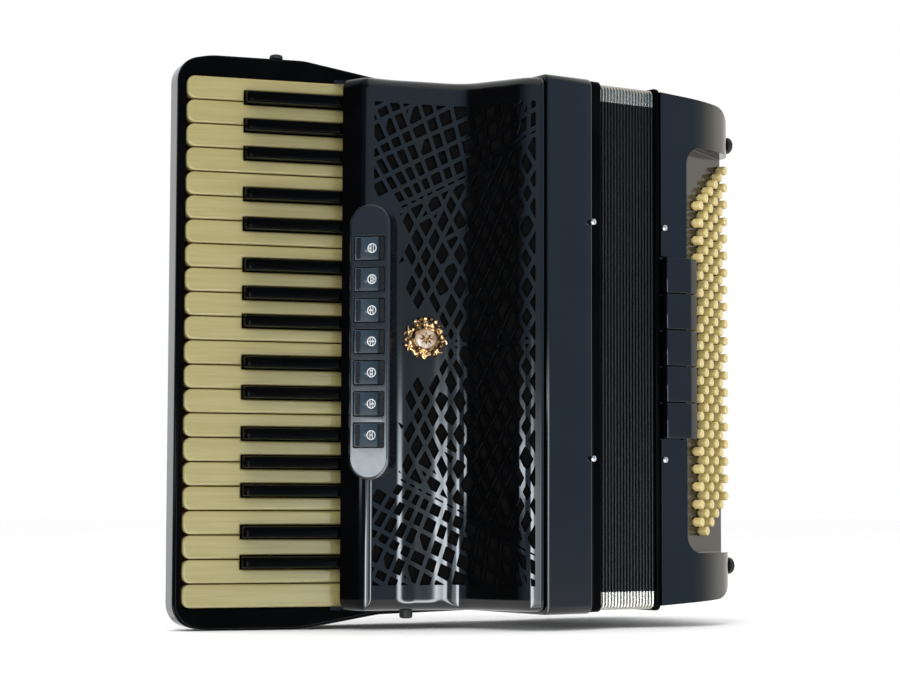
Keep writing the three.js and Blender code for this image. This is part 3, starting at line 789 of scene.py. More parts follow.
class Profile:
    """A smooth curve through points in plan, measured by its own length."""

    def __init__(self, points, steps=16):
        points = [Vector(p) for p in points]
        tangents = []
        for i in range(len(points)):
            before, after = points[max(i - 1, 0)], points[min(i + 1, len(points) - 1)]
            tangents.append((after - before).normalized())
        self.path = [points[0]]
        for i in range(len(points) - 1):
            length = (points[i + 1] - points[i]).length
            for step in range(1, steps + 1):
                t = step / steps
                start = points[i] * (2 * t**3 - 3 * t**2 + 1) + points[i + 1] * (3 * t**2 - 2 * t**3)
                bend = tangents[i] * (t**3 - 2 * t**2 + t) + tangents[i + 1] * (t**3 - t**2)
                self.path.append(start + bend * length)
        self.lengths = [0.0]
        for i in range(1, len(self.path)):
            self.lengths.append(self.lengths[-1] + (self.path[i] - self.path[i - 1]).length)
        self.length = self.lengths[-1]

    def at(self, u):
        """The point at a length along the curve, and the direction out of the grille there."""
        u = max(0.0, min(self.length, u))
        i = 1
        while i < len(self.lengths) - 1 and self.lengths[i] < u:
            i += 1
        share = (u - self.lengths[i - 1]) / (self.lengths[i] - self.lengths[i - 1])
        point = self.path[i - 1].lerp(self.path[i], share)
        before = self.direction(i - 1)
        ahead = before.lerp(self.direction(i), share).normalized()
        return point, Vector((ahead.y, -ahead.x))

    def direction(self, i):
        low, high = max(i - 2, 0), min(i + 2, len(self.path) - 1)
        return (self.path[high] - self.path[low]).normalized()


PROFILE = Profile(GRILLE_PROFILE)


def grille_normal(u, w):
    _, out = PROFILE.at(u)
    turn = max(0.0, abs(w) - GRILLE_FLAT) / GRILLE_ROUND
    return Vector((out.x * math.cos(turn), out.y * math.cos(turn), math.copysign(math.sin(turn), w)))


def grille_point(u, w, height=0.0):
    """A point of the grille: u along its profile, w along the keyboard and round its ends."""
    point, out = PROFILE.at(u)
    turn = max(0.0, abs(w) - GRILLE_FLAT) / GRILLE_ROUND
    point = point - out * (GRILLE_ROUND * (1 - math.cos(turn)))
    z = math.copysign(min(abs(w), GRILLE_FLAT) + GRILLE_ROUND * math.sin(turn), w)
    return Vector((point.x, point.y, z)) + grille_normal(u, w) * height


# The pattern of the fretwork, in the flat: bars of one width between straight-sided cells.
EDGE_STRIP = 25.0               # the turned edge beside the keys, along the profile
FRET_BAR = 3.4
FRET_LEFT, FRET_RIGHT = 28.0, 176.0
FRET_TOP = 198.0
FRET_CHANGE = 132.0             # height at its middle of the bar where the pattern changes
FRET_SMALLEST = 3.0             # cells smaller than this many square millimetres stay closed
FRET_CORNER = 0.9
CHAMFER = 0.45
POD_WIDTH = 35.0
POD_LENGTH = 224.0
CREST_U, CREST_Z = 75.0, 4.4
CREST_HALF_U, CREST_HALF_Z = 22.5, 19.5


def area(cell):
    return sum(a.x * b.y - a.y * b.x for a, b in zip(cell, cell[1:] + cell[:1])) / 2


def half_of(cell, point, normal):
    """The part of a convex cell on the side of a line that its normal points to."""
    kept = []
    for a, b in zip(cell, cell[1:] + cell[:1]):
        side_a, side_b = (a - point).dot(normal), (b - point).dot(normal)
        if side_a >= 0:
            kept.append(a)
        if side_a * side_b < 0:
            kept.append(a.lerp(b, side_a / (side_a - side_b)))
    return kept


def split(cells, point, slope, largest=0.0):
    """Cuts cells along a line; only cells over an area are cut, where one is given."""
    turn = math.radians(slope)
    normal = Vector((-math.sin(turn), math.cos(turn)))
    parts = []
    for cell in cells:
        if area(cell) < largest:
            parts.append(cell)
            continue
        for way in (1, -1):
            part = half_of(cell, point, normal * way)
            if len(part) > 2 and area(part) > 1:
                parts.append(part)
    return parts


def shrink(cell, distance):
    """A convex cell with every side moved inwards."""
    smaller = cell
    for a, b in zip(cell, cell[1:] + cell[:1]):
        edge = b - a
        if edge.length < 1e-6:
            continue
        normal = Vector((-edge.y, edge.x)).normalized()
        smaller = half_of(smaller, a + normal * distance, normal)
        if len(smaller) < 3:
            return []
    return without_short_sides(smaller)


def without_short_sides(cell, shortest=0.7):
    kept = []
    for point in cell:
        if not kept or (point - kept[-1]).length > shortest:
            kept.append(point)
    while len(kept) > 2 and (kept[0] - kept[-1]).length < shortest:
        kept.pop()
    return kept if len(kept) > 2 else []


def pod_reach():
    """From where to where along the profile the register pod covers the grille."""
    covered = []
    for step in range(int(PROFILE.length)):
        point, _ = PROFILE.at(step)
        across = (Vector((point.x, point.y, 0)) - POD.origin).dot(POD.along)
        if abs(across) < POD_WIDTH / 2:
            covered.append(step)
    return covered[0], covered[-1]


POD_FROM, POD_TO = pod_reach()


def is_covered(cell):
    """Whether a cell would open under the register pod or the crest."""
    for u, z in cell:
        if u < POD_TO + 2 and abs(z) < POD_LENGTH / 2 + 3 - max(0, u - POD_FROM - 10) * 0.3:
            return True
        if ((u - CREST_U) / (CREST_HALF_U - 3)) ** 2 + (z / (CREST_HALF_Z - 1)) ** 2 < 1:
            return True
    return False


def fret_cells():
    """Cells of the upper half, mirrored below: a fan at the end, and lozenges nearer the middle."""
    draw = random.Random(7)
    corners = (FRET_LEFT, 0), (FRET_RIGHT, 0), (FRET_RIGHT, FRET_TOP), (FRET_LEFT, FRET_TOP)
    middle = (FRET_LEFT + FRET_RIGHT) / 2
    parts = split([[Vector(p) for p in corners]], Vector((middle, FRET_CHANGE)), 27)
    end, centre = parts[:1], parts[1:]

    def upwards(at):
        return middle, at

    def across_end(at):
        return at, 165

    def across_centre(at):
        return at, FRET_CHANGE / 2

    def fan(at):
        return -60 - 34 * max(0, min(1, (at - FRET_LEFT) / (FRET_RIGHT - FRET_LEFT)))

    def cut(cells, count, first, step, slack, place, slope, turn, largest=0.0):
        """Cuts cells along a row of lines; chance shifts each by up to slack and turns it by up to turn."""
        for number in range(count):
            at = first + step * number + slack * draw.random()
            lean = slope(at) if callable(slope) else slope
            cells = split(cells, Vector(place(at)), lean + turn * draw.random(), largest)
        return cells

    end = cut(end, 12, FRET_CHANGE - 27, 15.5, 3, upwards, 25, 5)
    end = cut(end, 20, FRET_LEFT - 24, 12.4, 3, across_end, fan, 4)
    end = cut(end, 16, FRET_LEFT - 20, 21, 8, across_end, 66, 10, 190)
    centre = cut(centre, 26, FRET_LEFT - 60, 13.6, 4, across_centre, 60, 5)
    centre = cut(centre, 26, FRET_LEFT - 60, 14.6, 5, across_centre, -64, 5)
    centre = cut(centre, 8, 12, 26, 8, upwards, 24, 8, 210)
    return end + centre


def round_corners(cell, radius):
    """A convex cell with a small curve in place of each corner."""
    rounded = []
    for i, here in enumerate(cell):
        ends = []
        for other in (cell[i - 1], cell[(i + 1) % len(cell)]):
            side = other - here
            ends.append(here + side * min(0.4, radius / side.length))
        rounded += [ends[0], (ends[0] + ends[1] + here * 2) / 4, ends[1]]
    return rounded


def fret_holes():
    """Outlines of the holes: each cell less half a bar all round, in both halves of the grille."""
    holes = []
    for cell in fret_cells():
        hole = shrink(cell, FRET_BAR / 2)
        if len(hole) > 2 and area(hole) > FRET_SMALLEST and not is_covered(hole):
            hole = round_corners(hole, FRET_CORNER)
            holes.append(hole)
            holes.append([Vector((u, -z)) for u, z in reversed(hole)])
    return holes


def hole_loops(flat):
    """The open loops of a flat mesh, each as its vertices in order: the holes, and the rim."""
    left = {edge.link_loops[0] for edge in flat.edges if edge.is_boundary}
    loops = []
    while left:
        first = min(left, key=lambda corner: corner.index)
        here, loop = first, []
        while here in left:
            left.discard(here)
            loop.append(here.vert)
            here = here.link_loop_next
            while not here.edge.is_boundary:
                here = here.link_loop_radial_next.link_loop_next
        loops.append(loop)
    rim = max(loops, key=lambda loop: max(vert.co.y for vert in loop))
    return [loop for loop in loops if loop is not rim], rim


def flat_fretwork():
    """The plate in the flat, cut into strips that can bend with the profile."""
    outer = [(0, -GRILLE_WRAP), (PROFILE.length, -GRILLE_WRAP), (PROFILE.length, GRILLE_WRAP),
             (0, GRILLE_WRAP)]
    points = [Vector(p) for p in outer]
    edges = [(i, (i + 1) % 4) for i in range(4)]
    strips = int(PROFILE.length / 3.2)
    for i in range(1, strips):
        u = PROFILE.length * i / strips
        edges.append((len(points), len(points) + 1))
        points += [Vector((u, -GRILLE_WRAP)), Vector((u, GRILLE_WRAP))]
    turns = 7
    for i in range(turns):
        w = GRILLE_FLAT + (GRILLE_WRAP - GRILLE_FLAT) * i / turns
        for side in (w, -w):
            edges.append((len(points), len(points) + 1))
            points += [Vector((0, side)), Vector((PROFILE.length, side))]
    slot_end = POD_LENGTH / 2 - POD_WIDTH / 2
    slot = rectangle(POD_FROM + 3, POD_TO - 3, -slot_end, slot_end)
    faces = []
    for hole in fret_holes() + [slot]:
        faces.append(list(range(len(points), len(points) + len(hole))))
        points += hole
    found = geometry.delaunay_2d_cdt(points, edges, faces, 0, 1e-4)
    flat = bmesh.new()
    corners = [flat.verts.new((p.x, p.y, 0)) for p in found[0]]
    for face, inside in zip(found[2], found[5]):
        if not inside:
            flat.faces.new([corners[i] for i in face])
    bmesh.ops.delete(flat, geom=[v for v in flat.verts if not v.link_faces], context="VERTS")
    return flat


def fretwork():
    """The curved plate: front, back, and the chamfered walls of every hole."""
    flat = flat_fretwork()
    flat.verts.index_update()
    flat.faces.index_update()
    number = 0
    for face in flat.faces:
        for corner in face.loops:
            corner.index = number
            number += 1
    holes, rim = hole_loops(flat)
    placed = [(v.co.x, v.co.y, 0.0) for v in flat.verts]
    count = len(placed)
    placed += [(u, w, -GRILLE_THICK) for u, w, _ in placed]
    faces, fronts = [], []
    for face in flat.faces:
        corners = [v.index for v in face.verts]
        faces.append(corners)
        fronts.append(True)
        faces.append([count + i for i in reversed(corners)])
        fronts.append(False)
    for loop in holes:
        line = [Vector(v.co.xy) for v in loop]
        inner = inset(line, -CHAMFER)
        start = len(placed)
        placed += [(p.x, p.y, -CHAMFER) for p in inner]
        for i, vertex in enumerate(loop):
            j = (i + 1) % len(loop)
            faces.append([loop[j].index, vertex.index, start + i, start + j])
            faces.append([start + j, start + i, count + vertex.index, count + loop[j].index])
            fronts += [False, False]
    for i, vertex in enumerate(rim):
        after = rim[(i + 1) % len(rim)]
        faces.append([after.index, vertex.index, count + vertex.index, count + after.index])
        fronts.append(False)
    flat.free()
    return placed, faces, fronts


def grille_end(sign):
    """The flat end of the grille, and the folds that join it to the keyboard and the groove."""
    shape = Shape()
    steps = [PROFILE.length * i / 40 for i in range(41)]
    front = [grille_point(u, sign * GRILLE_WRAP) for u in steps]
    inside = Vector((0, 0, -sign * GRILLE_THICK))
    edge = sign * GRILLE_HALF
    lip = Vector((front[-1].x, GRILLE_LIP, edge))
    heel = Vector((GRILLE_HEEL.x, GRILLE_HEEL.y, edge))
    foot = Vector((GRILLE_FOOT.x, GRILLE_FOOT.y, edge))
    ring = front + [lip, heel, foot]
    shape.rings([ring, [p + inside for p in ring]])
    return shape


def side_wall():
    """The narrow wall that goes down into the groove beside the treble case, and the groove's floor."""
    shape = Shape()
    ws = [GRILLE_WRAP - (GRILLE_WRAP - GRILLE_FLAT) * i / 8 for i in range(9)]
    ws = [-w for w in ws] + ws[::-1]
    edge = [grille_point(PROFILE.length, w) for w in ws]
    ring = edge + [Vector((p.x, GRILLE_LIP, p.z)) for p in edge][::-1]
    shift = Vector((-GRILLE_THICK * 0.8, 0, 0))
    shape.rings([ring, [p + shift for p in ring]])
    shape.prism(PLAN, rectangle(*GROOVE_FLOOR), -GRILLE_HALF + 3, GRILLE_HALF - 3, 0.3, 0.3)
    return shape


def grille():
    """The curved, pierced plate with its ends and side wall, and the cloth behind it."""
    placed, faces, fronts = fretwork()
    points = [ORIGIN + grille_point(*p) * MM for p in placed]
    mesh = bpy.data.meshes.new("grille_fretwork")
    mesh.from_pydata(points, [], faces)
    mesh.shade_smooth()
    normals = []
    for polygon, is_front in zip(mesh.polygons, fronts):
        for vertex in polygon.vertices:
            u, w, _ = placed[vertex]
            normals.append(grille_normal(u, w) if is_front else polygon.normal.copy())
    mesh.normals_split_custom_set(normals)
    obj = bpy.data.objects.new("grille_fretwork", mesh)
    bpy.context.scene.collection.objects.link(obj)
    for polygon, is_front in zip(mesh.polygons, fronts):
        beside_keys = placed[polygon.vertices[0]][0] < EDGE_STRIP
        polygon.material_index = (2 if beside_keys else 0) if is_front else 1
    looks = [LACQUER, FRAME_LACQUER, EDGE_LACQUER]      # the walls of the holes stay dark
    finish_piece(obj, looks, "treble", ["grille"], smooth=False)
    piece("grille_end_top", grille_end(1), LACQUER, "treble")
    piece("grille_end_bottom", grille_end(-1), LACQUER, "treble")
    piece("grille_side_wall", side_wall(), LACQUER, "treble")
    cloth = Shape()
    rows = []
    for i in range(41):
        u = FRET_LEFT - 6 + (FRET_RIGHT - FRET_LEFT + 8) * i / 40
        rows.append([grille_point(u, z, -GRILLE_THICK - 0.1) for z in (-207, 207)])
        rows[-1] += [grille_point(u, z, -GRILLE_THICK - 0.5) for z in (207, -207)]
    cloth.rings(rows)
    piece("grille_cloth", cloth, GRILLE_CLOTH, "treble")


# ---- crest --------------------------------------------------------------------------------
def crest_place(a, b, height=0.0):
    """The crest bends with the grille under it."""
    return grille_point(CREST_U + a, CREST_Z + b, height)


def oval(a, b, half_a, half_b, sides=48, lobes=0, depth=0.0):
    points = []
    for i in range(sides):
        turn = math.tau * i / sides
        size = 1 + depth * math.cos(lobes * turn)
        points.append(Vector((a + half_a * size * math.cos(turn), b + half_b * size * math.sin(turn))))
    return points


def scroll(shape, a, b, turn, size, way):
    """A leaf that ends in a curl."""
    path = []
    for i in range(17):
        t = i / 16
        radius = size * (1 - 0.78 * t)
        angle = turn + way * t * 4.6
        path.append(crest_place(
            a + radius * math.cos(angle) - size * math.cos(turn), b + radius * math.sin(angle)
            - size * math.sin(turn), 1.6 + 1.2 * t,
        ))
    shape.tube(path, size * 0.24, 6)


def crest():
    """A plain medallion in a wreath of scrolls, with a row of beads over it."""
    plate = Shape().prism(crest_place, oval(0, -1, 16.5, 14.5, 72, 12, 0.06), 0.2, 1.7, 0.7)
    for i in range(14):
        turn = math.tau * (i + 0.5) / 14
        a, b = 15.2 * math.cos(turn), -1 + 13.4 * math.sin(turn)
        scroll(plate, a + 3.4 * math.cos(turn), b + 3.0 * math.sin(turn), turn, 3.4, 1 if i % 2 else -1)
    ring = [crest_place(p.x, p.y, 3.0) for p in oval(0, -1, 10.4, 9.0, 40)]
    plate.tube(ring, 1.1, 8, loop=True)
    ring = [crest_place(p.x, p.y, 2.2) for p in oval(0, -1, 13.0, 11.4, 40)]
    plate.tube(ring, 0.8, 8, loop=True)
    for i in range(5):
        turn = math.radians(90 + (i - 2) * 17)
        a, b = 15.5 * math.cos(turn), -1 + 17.0 * math.sin(turn)
        plate.lathe(crest_place, a, b, [(1.9, 0.4), (1.9, 2.2), (1.4, 3.5), (0.2, 3.9)], 12)
    piece("crest_wreath", plate, GOLD, "treble")
    dome = Shape()
    levels = [(1.0, 1.2), (0.97, 2.4), (0.80, 3.3), (0.55, 3.9), (0.28, 4.2), (0.03, 4.3)]
    dome.rings([
        [crest_place(p.x, p.y, height) for p in oval(0, -1, 9.6 * size, 8.2 * size, 40)]
        for size, height in levels
    ])
    piece("crest_medallion", dome, ENAMEL, "treble")
    star = Shape()
    points = []
    for i in range(16):
        turn = math.tau * i / 16
        size = 6.2 if i % 2 == 0 else 3.2
        points.append(Vector((size * math.cos(turn), -1 + size * math.sin(turn) * 0.86)))
    star.prism(crest_place, points, 3.0, 4.7, 0.5)
    piece("crest_star", star, GOLD, "treble")


# ---- treble registers ---------------------------------------------------------------------
REGISTER_PITCH = 25.2
TREBLE_REGISTERS = 7
SWITCH_ACROSS, SWITCH_LONG = 25.0, 19.0
SWITCH_LOW, SWITCH_HIGH = -2.3, 0.7
SWITCH_FACE_END = 8.0           # the raised face ends here, and a low step fills the rest
POCKET_DEEP = 4.4
POCKET_CLEAR = 0.6
# Reed dots of each switch, as places in the icon: 1 upper, 2 3 4 middle, 5 lower.
SWITCH_DOTS = [(3,), (1, 3), (2, 4), (1, 3, 5), (3, 5), (1, 2, 4), (5,)]
DOT_PLACES = {1: (0, 2.0), 2: (-1.5, 0), 3: (0, 0), 4: (1.5, 0), 5: (0, -2.0)}


def register_z(i, count=TREBLE_REGISTERS, pitch=REGISTER_PITCH):
    return (i - (count - 1) / 2) * pitch


def mark_faces(obj, direction, least, index):
    """Gives the faces that look a way another of the piece's materials."""
    for polygon in obj.data.polygons:
        if polygon.normal.dot(direction) > least:
            polygon.material_index = index


def register_pod():
    """A stadium-shaped block with a pocket for each switch."""
    end = POD_WIDTH / 2 - 0.1
    half, top = POD_WIDTH / 2, POD_LENGTH / 2
    stadium = outline([(-half, -top, end), (half, -top, end), (half, top, end), (-half, top, end)], 14)
    pod = raw_object("register_pod", Shape().prism(POD, stadium, -21, 0, 2.6, steps=5))
    pockets = Shape()
    for i in range(TREBLE_REGISTERS):
        z = register_z(i)
        reach_a, reach_z = SWITCH_ACROSS / 2 + POCKET_CLEAR, SWITCH_LONG / 2 + POCKET_CLEAR
        pockets.prism(POD, rectangle(-reach_a, reach_a, z - reach_z, z + reach_z, 1.2, 4), -POCKET_DEEP, 6)
    carve(pod, [pockets])
    soften(pod, 0.45)
    # Painted shade: the pod's side facing along it takes the dark plastic.
    mark_faces(pod, POD.along, 0.9, 1)
    finish_piece(pod, [SMOKE, PAINTED_SHADE_PLASTIC], "treble", ["register_plate"])


def dish(a):
    """How far the face of a switch is hollowed, across the pod."""
    share = (SWITCH_FACE_END - 0.5 - a) / (SWITCH_FACE_END + SWITCH_ACROSS / 2 - 1.0)
    return 1.25 * math.sin(math.pi * max(0.0, min(1.0, share))) ** 0.8


def on_switch(a, b, height):
    """The pod's frame, bent to the face of a switch."""
    return POD(a, b, SWITCH_HIGH - dish(a) + height)


def switch_icon(shape, a, z, dots):
    """A register symbol: a ring with two bars across it and a dot for each set of reeds."""
    sunk, thick = -0.5, 0.12
    outer, inner = circle(a, z, 3.9, 28), circle(a, z, 3.2, 28)
    levels = [(outer, sunk), (outer, thick), (inner, thick), (inner, sunk)]
    shape.rings([[on_switch(p.x, p.y, h) for p in ring] for ring, h in levels], 1, loop=True)
    for side in (-1.05, 1.05):
        bar = rectangle(a + side - 0.26, a + side + 0.26, z - 3.2, z + 3.2)
        shape.prism(on_switch, bar, sunk, thick, mark=1)
    for dot in dots:
        across, along = DOT_PLACES[dot]
        shape.lathe(on_switch, a + along, z + across * 0.9, [(0.62, sunk), (0.62, thick)], 10, 1)


def treble_register(i):
    """A switch with a dished face, and a low step where the pod hides its hinge; the step and the grip are
    painted dark as shade.
    """
    z = register_z(i)
    half = SWITCH_LONG / 2
    shape = Shape()
    left = -SWITCH_ACROSS / 2
    section = [(SWITCH_FACE_END, SWITCH_LOW), (SWITCH_FACE_END, SWITCH_HIGH - 0.9)]
    for step in range(13):
        across = SWITCH_FACE_END - 0.5 - (SWITCH_FACE_END - left - 1.0) * step / 12
        section.append((across, SWITCH_HIGH - dish(across)))
    section += [(left, SWITCH_HIGH - 0.9), (left, SWITCH_LOW)]
    ends = [(0.9, z - half), (0.25, z - half + 0.25), (0, z - half + 0.9),
            (0, z + half - 0.9), (0.25, z + half - 0.25), (0.9, z + half)]
    rings = []
    for drop, place in ends:
        rings.append([POD(a, place, h - (drop if h > SWITCH_LOW + 0.1 else 0)) for a, h in section])
    shape.rings(rings)
    # Painted shade: the step takes the dark plastic for the gap beside the switch, and the grip for the
    # shaded left part of the face.
    step = rectangle(SWITCH_FACE_END - 0.5, SWITCH_ACROSS / 2, z - half, z + half, 0.4, 3)
    shape.prism(POD, step, SWITCH_LOW, SWITCH_LOW + 0.7, 0.2, mark=2)
    grip = rectangle(left + 0.6, left + 5.2, z - half + 1.0, z + half - 1.0, 0.8, 3)
    shape.prism(POD, grip, SWITCH_HIGH - 1.6, SWITCH_HIGH - 0.25, 0.5, mark=2)
    switch_icon(shape, 2.2, z, SWITCH_DOTS[i])
    name = f"treble_register_{i + 1:02d}"
    looks = [SWITCH_SLATE, ICON_WHITE, PAINTED_SHADE_PLASTIC]
    piece(f"treble_switch_{i + 1:02d}", shape, looks, name, [name])


# ---- cases and bellows --------------------------------------------------------------------
CASE_DEPTH = 190.0
CASE_WALL = 8.0
CASE_STEP = 3.6                 # the lacquered shells stop this far from the bellows' own frames
JOINT_FRONT, JOINT_BACK, JOINT_HALF = 165.0, 186.6, 214.6   # covers the soundboard at the back
GAP = 0.3
BELLOWS_WIDTH = 63.5
BELLOWS_HALF = 217.0
BELLOWS_INSET = 4.0
FOLDS = 17
FIRST_RIDGE, LAST_RIDGE = 7.0, 61.6
RIDGE_RADIUS = 1.08
CORNER_RADIUS = 1.30
FOLD_DEPTH = 15.0
CORNER_LENGTH = 13.0
PIN_ROWS = (("treble", -5.0), ("bass", 69.5))
PIN_HEIGHTS = (100.3, -93.5)
STAPLE_HEIGHTS = (("top", 180), ("bottom", -180))


def side_ring(inset_by, x, corner, half=BELLOWS_HALF, near=BELLOWS_INSET):
    """A rounded frame outline round the bellows at one X, moved inwards."""
    points = rectangle(
        near + inset_by, CASE_DEPTH - near - inset_by, -half + inset_by, half - inset_by,
        max(corner - inset_by, 0.6), 5,
    )
    return [SIDE(p.x, p.y, x) for p in points]


def case_ring(low, high, near, half, corners, wall, edge):
    """A frame of a wall's thickness, with rounded outer edges."""
    def ring(distance, x):
        front, back = near + distance, CASE_DEPTH - near - distance
        low_end, high_end = distance - half, half - distance
        points = outline([
            (front, low_end, corners[0]), (back, low_end, corners[1]),
            (back, high_end, corners[1]), (front, high_end, corners[0]),
        ], 6)
        return [SIDE(p.x, p.y, x) for p in points]
    levels = [(wall, low), (edge + HOLD, low)] + round_edge(edge, low, 1, 4)
    levels += round_edge(edge, high, -1, 4)[::-1] + [(edge + HOLD, high), (wall, high)]
    return Shape().rings([ring(distance, x) for distance, x in levels], loop=True)


def treble_case():
    """The lacquered shell, the strip behind its joint with the keyboard, and the strap staples."""
    shell = case_ring(-TREBLE_WIDTH, -CASE_STEP, 0, TREBLE_HALF, (7, 14), CASE_WALL, 2.4)
    piece("treble_case_shell", shell, LACQUER, "treble", ["treble_case"])
    face, edge = FRAME_RIGHT + 0.4, -TREBLE_WIDTH - 0.3
    joint = outline([
        (face - 1.6, JOINT_FRONT), (face, JOINT_FRONT), (face, JOINT_BACK - 2.2), (edge, JOINT_BACK - 2.2),
        (edge, JOINT_BACK, 0.6), (face - 1.6, JOINT_BACK, 0.8),
    ], 3)
    liner = Shape().prism(PLAN, joint, -JOINT_HALF, JOINT_HALF)
    piece("joint_liner", liner, FRAME_LACQUER, "treble")
    for name, z in STAPLE_HEIGHTS:
        staple = Shape()
        path = [Vector(p) for p in (
            (-39, CASE_DEPTH - 1, z), (-39, CASE_DEPTH + 5, z), (-37.6, CASE_DEPTH + 7.6, z),
            (-34.5, CASE_DEPTH + 8.4, z), (-15.5, CASE_DEPTH + 8.4, z), (-12.4, CASE_DEPTH + 7.6, z),
            (-11, CASE_DEPTH + 5, z), (-11, CASE_DEPTH - 1, z),
        )]
        staple.tube(path, 1.7, 12)
        plate = outline([(-46, z - 6, 5.5), (-4, z - 6, 5.5), (-4, z + 6, 5.5), (-46, z + 6, 5.5)], 6)
        staple.prism(FRONT, plate, -CASE_DEPTH - 1.2, -CASE_DEPTH + 0.5, 0.0, 0.6)
        for x in (-43, -7):
            staple.lathe(FRONT, x, z, [(0.4, -CASE_DEPTH - 2.1), (1.9, -CASE_DEPTH - 1.8),
                                       (2.3, -CASE_DEPTH - 1.1), (2.3, -CASE_DEPTH)], 16)
        piece(f"strap_staple_{name}", staple, CHROME, "treble")


def bellows_frames():
    """The black frames at both ends of the bellows, set in a little from the cases."""
    for name, low, high, body in (
        ("treble", -CASE_STEP, FIRST_RIDGE - 1.4, "treble"),
        ("bass", LAST_RIDGE + 1.4, BELLOWS_WIDTH + GAP + CASE_STEP, "bass"),
    ):
        ring = case_ring(low, high, 1.2, BELLOWS_HALF + 1.2, (5, 12), 10, 1.0)
        piece(f"bellows_frame_{name}", ring, FRAME_LACQUER, body)


def bellows_pins():
    """Round-headed pins through the cases into the bellows frames, on the front and the back."""
    profile = [(1.3, -1), (1.3, 1.1), (2.4, 1.3), (2.7, 2.0), (2.4, 2.9), (1.4, 3.5), (0.2, 3.7)]
    for body, x in PIN_ROWS:
        number = 1
        for z in PIN_HEIGHTS:
            for y, way in ((0, 1), (CASE_DEPTH, -1)):
                pin = Shape().lathe(Frame((x, y, z), X, Z * way), 0, 0, profile, 18)
                piece(f"bellows_pin_{body}_{number:02d}", pin, CHROME, body)
                number += 1


def unsmooth(weight):
    """Where smoothstep reaches a weight."""
    return 0.5 - math.sin(math.asin(1 - 2 * weight) / 3)


def ridge_x(i):
    return FIRST_RIDGE + (LAST_RIDGE - FIRST_RIDGE) * i / FOLDS


def blend_rigid(obj, x, weight):
    """Bakes a piece's transform into its mesh."""
    reach = 10000.0
    start = x - unsmooth(weight) * reach
    ORIGIN + SIDE(90, 0, start) * MM
    ORIGIN + SIDE(90, 0, start + reach) * MM
    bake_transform(obj)


def bellows_ridge(i):
    x = ridge_x(i)
    centre = CORNER_RADIUS
    rings = []
    for j in range(12):
        turn = math.tau * j / 12
        rings.append(side_ring(centre - RIDGE_RADIUS * math.sin(turn), x + RIDGE_RADIUS * math.cos(turn), 6))
    tape = Shape().rings(rings, loop=True)
    name = f"bellows_ridge_{i + 1:02d}"
    obj = piece(name, tape, BELLOWS_CLOTH, None, ["bellows"])
    blend_rigid(obj, x, i / FOLDS)
    corners = Shape()
    middle = rectangle(
        BELLOWS_INSET + centre, CASE_DEPTH - BELLOWS_INSET - centre, -BELLOWS_HALF + centre,
        BELLOWS_HALF - centre, 4.6, 5,
    )
    for corner in range(4):
        arc = middle[corner * 6:corner * 6 + 6]
        before = (middle[corner * 6 - 1] - arc[0]).normalized()
        after = (middle[(corner * 6 + 6) % len(middle)] - arc[-1]).normalized()
        line = [arc[0] + before * (CORNER_LENGTH - 4)] + arc + [arc[-1] + after * (CORNER_LENGTH - 4)]
        path = [SIDE(p.x, p.y, x) for p in line]
        rings = []
        for k, here in enumerate(path):
            ahead = (path[min(k + 1, len(path) - 1)] - path[max(k - 1, 0)]).normalized()
            out = ahead.cross(X)
            rings.append([
                here + (out * math.cos(t) + X * math.sin(t)) * CORNER_RADIUS
                for t in (math.tau * j / 10 for j in range(10))
            ])
        corners.rings(rings)
    obj = piece(f"bellows_corners_{i + 1:02d}", corners, CORNER_NICKEL, None)
    blend_rigid(obj, x, i / FOLDS)


def bellows_fold(i):
    """The card between two ridges: down to the valley and up again."""
    x1, x2 = ridge_x(i), ridge_x(i + 1)
    middle = (x1 + x2) / 2
    section = [(1.6, x1), (FOLD_DEPTH, middle), (1.6, x2), (2.8, x2), (FOLD_DEPTH + 1, middle), (2.8, x1)]
    rings = [side_ring(depth, x, 6) for depth, x in section]
    obj = piece(f"bellows_fold_{i + 1:02d}", Shape().rings(rings, loop=True), BELLOWS_CLOTH, None)
    t1, t2 = unsmooth(i / FOLDS), unsmooth((i + 1) / FOLDS)
    reach = (x2 - x1) / (t2 - t1)
    start = x1 - t1 * reach
    ORIGIN + SIDE(90, 0, start) * MM
    ORIGIN + SIDE(90, 0, start + reach) * MM
    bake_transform(obj)


# ---- bass side ----------------------------------------------------------------------------
BASS_START = BELLOWS_WIDTH + GAP
BASS_END = 169.0
BASS_HALF = 215.3
BASS_CORNER = 48.0              # how far back the front turns into the bass end
NOTCH_EDGE = 95.0
NOTCH_HALF = 171.0
BOARD_LENGTH = 84.0
BOARD_HALF = 166.0
BOARD_THICK = 3.0
BUTTON_ROWS = 6
BUTTON_COLUMNS = 20
BUTTON_ROW_PITCH = 12.0
BUTTON_COLUMN_PITCH = 14.9
BUTTON_RADIUS = 3.9
BUTTON_CLEAR = 0.45             # between a button and its hole
BUTTON_PROUD = 9.0
FIRST_ROW = 17.0
BASS_REGISTERS = 5
BASS_REGISTER_LENGTH = 30.4


